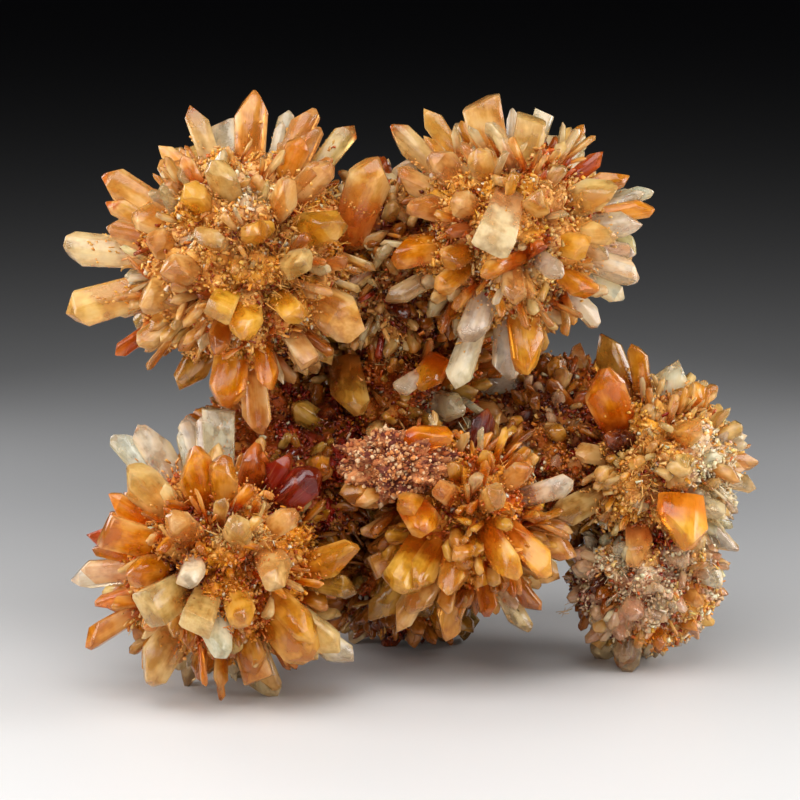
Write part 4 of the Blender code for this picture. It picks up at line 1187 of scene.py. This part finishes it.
class Value:
    """A socket of a material, so that shader maths reads as a formula."""

    def __init__(self, paint, socket):
        self.paint = paint
        self.socket = socket

    def maths(self, operation, a, b, **settings):
        return self.paint.node("Math", {"operation": operation, **settings}, {0: a, 1: b})

    def __add__(self, other):
        return self.maths("ADD", self, other)

    __radd__ = __add__

    def __sub__(self, other):
        return self.maths("SUBTRACT", self, other)

    def __rsub__(self, other):
        return self.maths("SUBTRACT", other, self)

    def __mul__(self, other):
        return self.maths("MULTIPLY", self, other)

    __rmul__ = __mul__

    def clamped(self):
        return self.maths("ADD", self, 0.0, use_clamp=True)


class Paint:
    """A material in the making."""

    def __init__(self, name):
        self.material = bpy.data.materials.new(name)
        self.material.use_nodes = True
        self.tree = self.material.node_tree
        self.tree.nodes.clear()

    def node(self, kind, settings=None, values=None, output=0):
        """A node: its settings first, then what its sockets hold or are linked to. Gives one output."""
        made = self.tree.nodes.new("ShaderNode" + kind)
        for key, setting in (settings or {}).items():
            setattr(made, key, setting)
        for key, given in (values or {}).items():
            if isinstance(given, Value):
                self.tree.links.new(given.socket, made.inputs[key])
            else:
                made.inputs[key].default_value = given
        return Value(self, made.outputs[output]) if made.outputs else None

    def place(self):
        return self.node("TexCoord", None, None, "Object")

    def part(self, vector, which):
        return self.node("SeparateXYZ", None, {"Vector": vector}, which)

    def attribute(self, name, output):
        return self.node("Attribute", {"attribute_name": name}, None, output)

    def noise(self, vector, scale, detail, roughness):
        values = {"Vector": vector, "Scale": scale, "Detail": detail, "Roughness": roughness}
        return self.node("TexNoise", {"noise_dimensions": "3D"}, values)

    def stretched_noise(self, vector, scale, detail, roughness):
        """A noise whose pattern is finer or coarser along each axis."""
        vector = self.node("VectorMath", {"operation": "MULTIPLY"}, {0: vector, 1: scale})
        return self.noise(vector, 1.0, detail, roughness)

    def between(self, value, low, high):
        """0 at low, 1 at high, and smooth between."""
        values = {"Value": value, "From Min": low, "From Max": high}
        return self.node("MapRange", {"interpolation_type": "SMOOTHSTEP"}, values)

    def mix(self, share, a, b, blend="MIX"):
        """Two colours mixed."""
        a, b = (x if isinstance(x, Value) else (*x, 1) for x in (a, b))
        return self.node("Mix", {"data_type": "RGBA", "blend_type": blend}, {0: share, 6: a, 7: b}, 2)

    def bump(self, height, strength, distance):
        return self.node("Bump", None, {"Height": height, "Strength": strength, "Distance": distance})

    def principled(self, colour, rough, **more):
        return self.node("BsdfPrincipled", None, {"Base Color": colour, "Roughness": rough, **more})

    def finished(self, shader):
        self.node("OutputMaterial", None, {"Surface": shader})
        return self.material


def crystal_paint(name, body, roughness, see_through, deep=0.5):
    """Creedite, clear glass and cloud mixed: iron at tip, iron and painted shade at root, painted rim
    highlights.
    """
    p = Paint(name)
    grain = p.attribute("grain", "Vector")
    section = p.attribute("section", "Vector")
    across = p.node("Math", {"operation": "ABSOLUTE"}, {0: p.part(section, 0)})
    along = p.part(section, 2)
    stain = p.attribute("stain", "Fac")
    tint = p.attribute("tint", "Color")
    veil = p.attribute("tint", "Alpha")
    cloud = p.stretched_noise(grain, (0.32, 0.32, 0.24), 3.0, 0.55)
    fine = p.stretched_noise(grain, (2.6, 2.6, 1.5), 4.0, 0.65)
    streak = p.stretched_noise(grain, (4.5, 4.5, 0.22), 3.0, 0.6)
    # The rims are painted paler: a painted highlight where light comes through the edges.
    rim = p.between(across + (cloud - 0.5) * 0.3, 0.58, 1.02)
    tip = p.between(along, 0.84, 1.0)
    colour = p.mix(p.between(cloud, 0.60, 0.36) * 0.35, tint, tint, "MULTIPLY")
    colour = p.mix((p.between(cloud, 0.50, 0.68) * veil * 0.55).clamped(), colour, VEIL)
    colour = p.mix((rim * veil * 0.8 + tip * veil * 0.4).clamped(), colour, VEIL)
    colour = p.mix(p.between(fine, 0.36, 0.62) * 0.14, colour, (0.80, 0.55, 0.25), "MULTIPLY")
    colour = p.mix(p.between(streak, 0.52, 0.70) * 0.10, colour, VEIL)
    colour = p.mix(p.between(streak, 0.46, 0.34) * 0.15, colour, tint, "MULTIPLY")
    at_tip = p.between(along + cloud * 0.35, 1.00, 1.16) * p.between(fine, 0.32, 0.52)
    colour = p.mix((at_tip * stain).clamped(), colour, RUST)
    colour = p.mix(p.between(fine, 0.66, 0.74) * 0.3, colour, RUST)
    # Darker and redder towards the root: iron stain and painted shade.
    root_stain_and_shade = p.between(along + cloud * 0.25, 0.80, 0.36)
    colour = p.mix(root_stain_and_shade * deep, colour, tint, "MULTIPLY")
    below = p.between(along + cloud * 0.3, 0.72, 0.42)
    colour = p.mix(below * (deep * 0.9), colour, ROOT_STAIN_AND_SHADE, "MULTIPLY")
    smooth, rough = roughness
    rough = smooth + (rough - smooth) * p.between(fine * 0.5 + cloud * 0.5, 0.40, 0.62)
    relief = p.bump(streak * 0.4 + fine * 0.5, 0.22, 0.00014)
    cloudy = p.principled(colour, rough, Normal=relief, **body)
    clear = p.principled(colour, rough, Normal=relief, **GLASS)
    least, most = see_through
    through = least + (most - least) * p.between(cloud * 0.92 + streak * 0.08, 0.62, 0.40)
    return p.finished(p.node("MixShader", None, {0: through, 1: cloudy, 2: clear}))


def ground_paint():
    """The bed between its grains: fine sugary druse, paler atop its crumbs, iron and painted shade between.
    """
    p = Paint("bed_druse")
    where = p.place()
    height = p.attribute("tint", "Alpha")
    tint = p.attribute("tint", "Color")
    grit = p.noise(where, 2600.0, 3.0, 0.6)
    patch = p.noise(where, 380.0, 3.0, 0.6)
    colour = p.mix((p.between(height + grit * 0.5, 0.90, 1.10) * 0.3).clamped(), tint, VEIL)
    # Darker and rustier low between the crumbs: iron stain and painted shade.
    colour = p.mix(p.between(height + grit * 0.4, 0.66, 0.42) * 0.6, colour, DEEP_RUST_AND_SHADE)
    colour = p.mix(p.between(patch, 0.50, 0.66) * 0.5, colour, RUST)
    rough = 0.14 + 0.3 * p.between(grit, 0.3, 0.7)
    relief = p.bump(grit, 0.8, 0.0003)
    return p.finished(p.principled(colour, rough, Normal=relief, **DULL))


def rust_paint():
    """The rusty lump, down between its crumbs."""
    p = Paint("iron_oxide")
    where = p.place()
    patch = p.noise(where, 420.0, 5.0, 0.65)
    colour = p.mix(p.between(patch, 0.42, 0.64), (0.13, 0.016, 0.005), (0.66, 0.25, 0.08))
    relief = p.bump(p.noise(where, 1800.0, 4.0, 0.7), 0.9, 0.0003)
    return p.finished(p.principled(colour, 0.8, Normal=relief))


def crumb_paint():
    """The crumbs of iron oxide, dull and earthy."""
    p = Paint("iron_oxide_crumbs")
    grain = p.attribute("grain", "Vector")
    speck = p.between(p.noise(grain, 3.0, 3.0, 0.6), 0.45, 0.70)
    colour = p.mix(speck * 0.5, p.attribute("tint", "Color"), (0.45, 0.13, 0.03))
    relief = p.bump(p.noise(grain, 6.0, 2.0, 0.6), 0.8, 0.0002)
    return p.finished(p.principled(colour, 0.7, Normal=relief))


def mesh_piece(name, bm, material, slot, *nodes):
    """A bmesh in millimetres as a finished piece in metres."""
    bmesh.ops.scale(bm, vec=(MM, MM, MM), verts=bm.verts)
    mesh = mesh_of(name, bm)
    mesh.materials.append(material)
    dressed(mesh, slot, *nodes)
    return mesh


def lump_swell(out):
    """How far the rusty lump swells in that direction, as a share of its radii."""
    return 0.94 + 0.50 * noise.noise(out * 2.3) + 0.32 * noise.turbulence(out * 5.0, 3, False)


def rusty_lump():
    """The lump of iron oxide, pitted and crumbly."""
    bm = bmesh.new()
    bmesh.ops.create_icosphere(bm, subdivisions=LUMP_FINENESS, radius=1.0)
    for v in bm.verts:
        v.co *= lump_swell(v.co)
    bmesh.ops.scale(bm, vec=MATRIX_RADII, verts=bm.verts)
    bmesh.ops.translate(bm, vec=place(*MATRIX_CENTRE), verts=bm.verts)
    mesh_piece("rusty_lump", bm, rust_paint(), "iron_oxide", "iron_oxide_matrix")


def set_camera():
    """The eye, level with the picture plane's own tilt."""
    lens = bpy.data.cameras.new("eye")
    lens.sensor_width = SENSOR_WIDTH
    lens.lens = SENSOR_WIDTH * EYE_DISTANCE / PICTURE_WIDTH
    lens.clip_start = 0.01
    lens.clip_end = 20
    camera = in_scene("eye", lens)
    eye = place(AIM_ACROSS, AIM_UP, 0) + TOWARD * EYE_DISTANCE
    looking = Matrix((RIGHT, UP, TOWARD)).transposed().to_4x4()
    camera.matrix_world = Matrix.Translation(eye * MM) @ looking
    bpy.context.scene.camera = camera


def soft_light(name, stands, aimed_at, size, power):
    """A soft white lamp."""
    light = bpy.data.lights.new(name, "AREA")
    light.shape = "RECTANGLE"
    light.size, light.size_y = size
    light.energy = power
    lamp = in_scene(name, light)
    lamp.location = stands
    lamp.rotation_euler = (Vector(aimed_at) - Vector(stands)).to_track_quat("-Z", "Y").to_euler()


def studio():
    """A pale floor that runs back into the dark, one softbox over the specimen, and strips at its sides."""
    bm = bmesh.new()
    bmesh.ops.create_grid(bm, x_segments=1, y_segments=1, size=FLOOR_HALF_SIDE)
    mesh = mesh_of("floor", bm)
    p = Paint("pale_floor")
    # Painted shade: the floor is painted darker towards the back.
    shade = p.mix(p.between(p.part(p.place(), 1), *FLOOR_PAINTED_SHADE_SPAN), FLOOR_NEAR, FLOOR_FAR_PAINTED_SHADE)
    mesh.materials.append(p.finished(p.principled(shade, FLOOR_ROUGHNESS)))
    in_scene("floor", mesh)
    for name, lamp in LAMPS.items():
        soft_light(name, *lamp)
    world = bpy.data.worlds.new("dark_studio")
    world.use_nodes = True
    world.node_tree.nodes["Background"].inputs["Color"].default_value = DARK_ROOM
    bpy.context.scene.world = world
    bpy.context.scene.view_settings.view_transform = "Standard"


def main():
    chance = random.Random(SEEDS["forms"])
    fine = [small_form(chance, sides, end) for sides in (3, 4) for end in ("flat", "chisel")]
    middle = [middle_form(chance) for _ in range(MIDDLE_FORMS)]
    crumbs = [crumb_form(chance) for _ in range(CRUMB_FORMS)]
    paints = {
        "milky": crystal_paint("milky_creedite", BODY, (0.07, 0.24), (0.12, 0.58)),
        "glassy": crystal_paint("glassy_creedite", BODY, (0.04, 0.16), (0.18, 0.62)),
        "clear": crystal_paint("clear_creedite", BODY, (0.02, 0.10), (0.26, 0.74)),
    }
    sandy = crystal_paint("sandy_druse", OPAQUE, (0.08, 0.28), (0.05, 0.28), 0.15)
    growths = {(tier, glass): Growth(f"{tier}_{glass}_crystals") for tier in TIERS for glass in paints}
    shafts = big_crystals(growths)
    middle_crystals(growths, shafts, middle)
    for (_, glass), growth in growths.items():
        growth.finished(paints[glass], "creedite", "creedite_crystals")
    beds = [Bed(name) for name in ROSETTES]
    druses = {name: Growth(name + "_druse") for name in ROSETTES}
    for one in beds:
        one.add_grains(druses[one.name], fine + crumbs[:CRUMB_FORMS_IN_DRUSE])
    add_flank_bits(druses, shafts, fine)
    for growth in druses.values():
        growth.finished(sandy, "creedite", "creedite_crystals")
    ground = ground_paint()
    for one in beds:
        one.ground(ground)
    needles = crystal_paint("fine_needles", OPAQUE, (0.18, 0.34), (0.0, 0.12), 0.0)
    tufts(needle_form()).finished(needles, "creedite", "creedite_crystals")
    rusty_lump()
    lump_crumbs(crumbs).finished(crumb_paint(), "iron_oxide", "iron_oxide_matrix")
    set_camera()
    studio()


main()
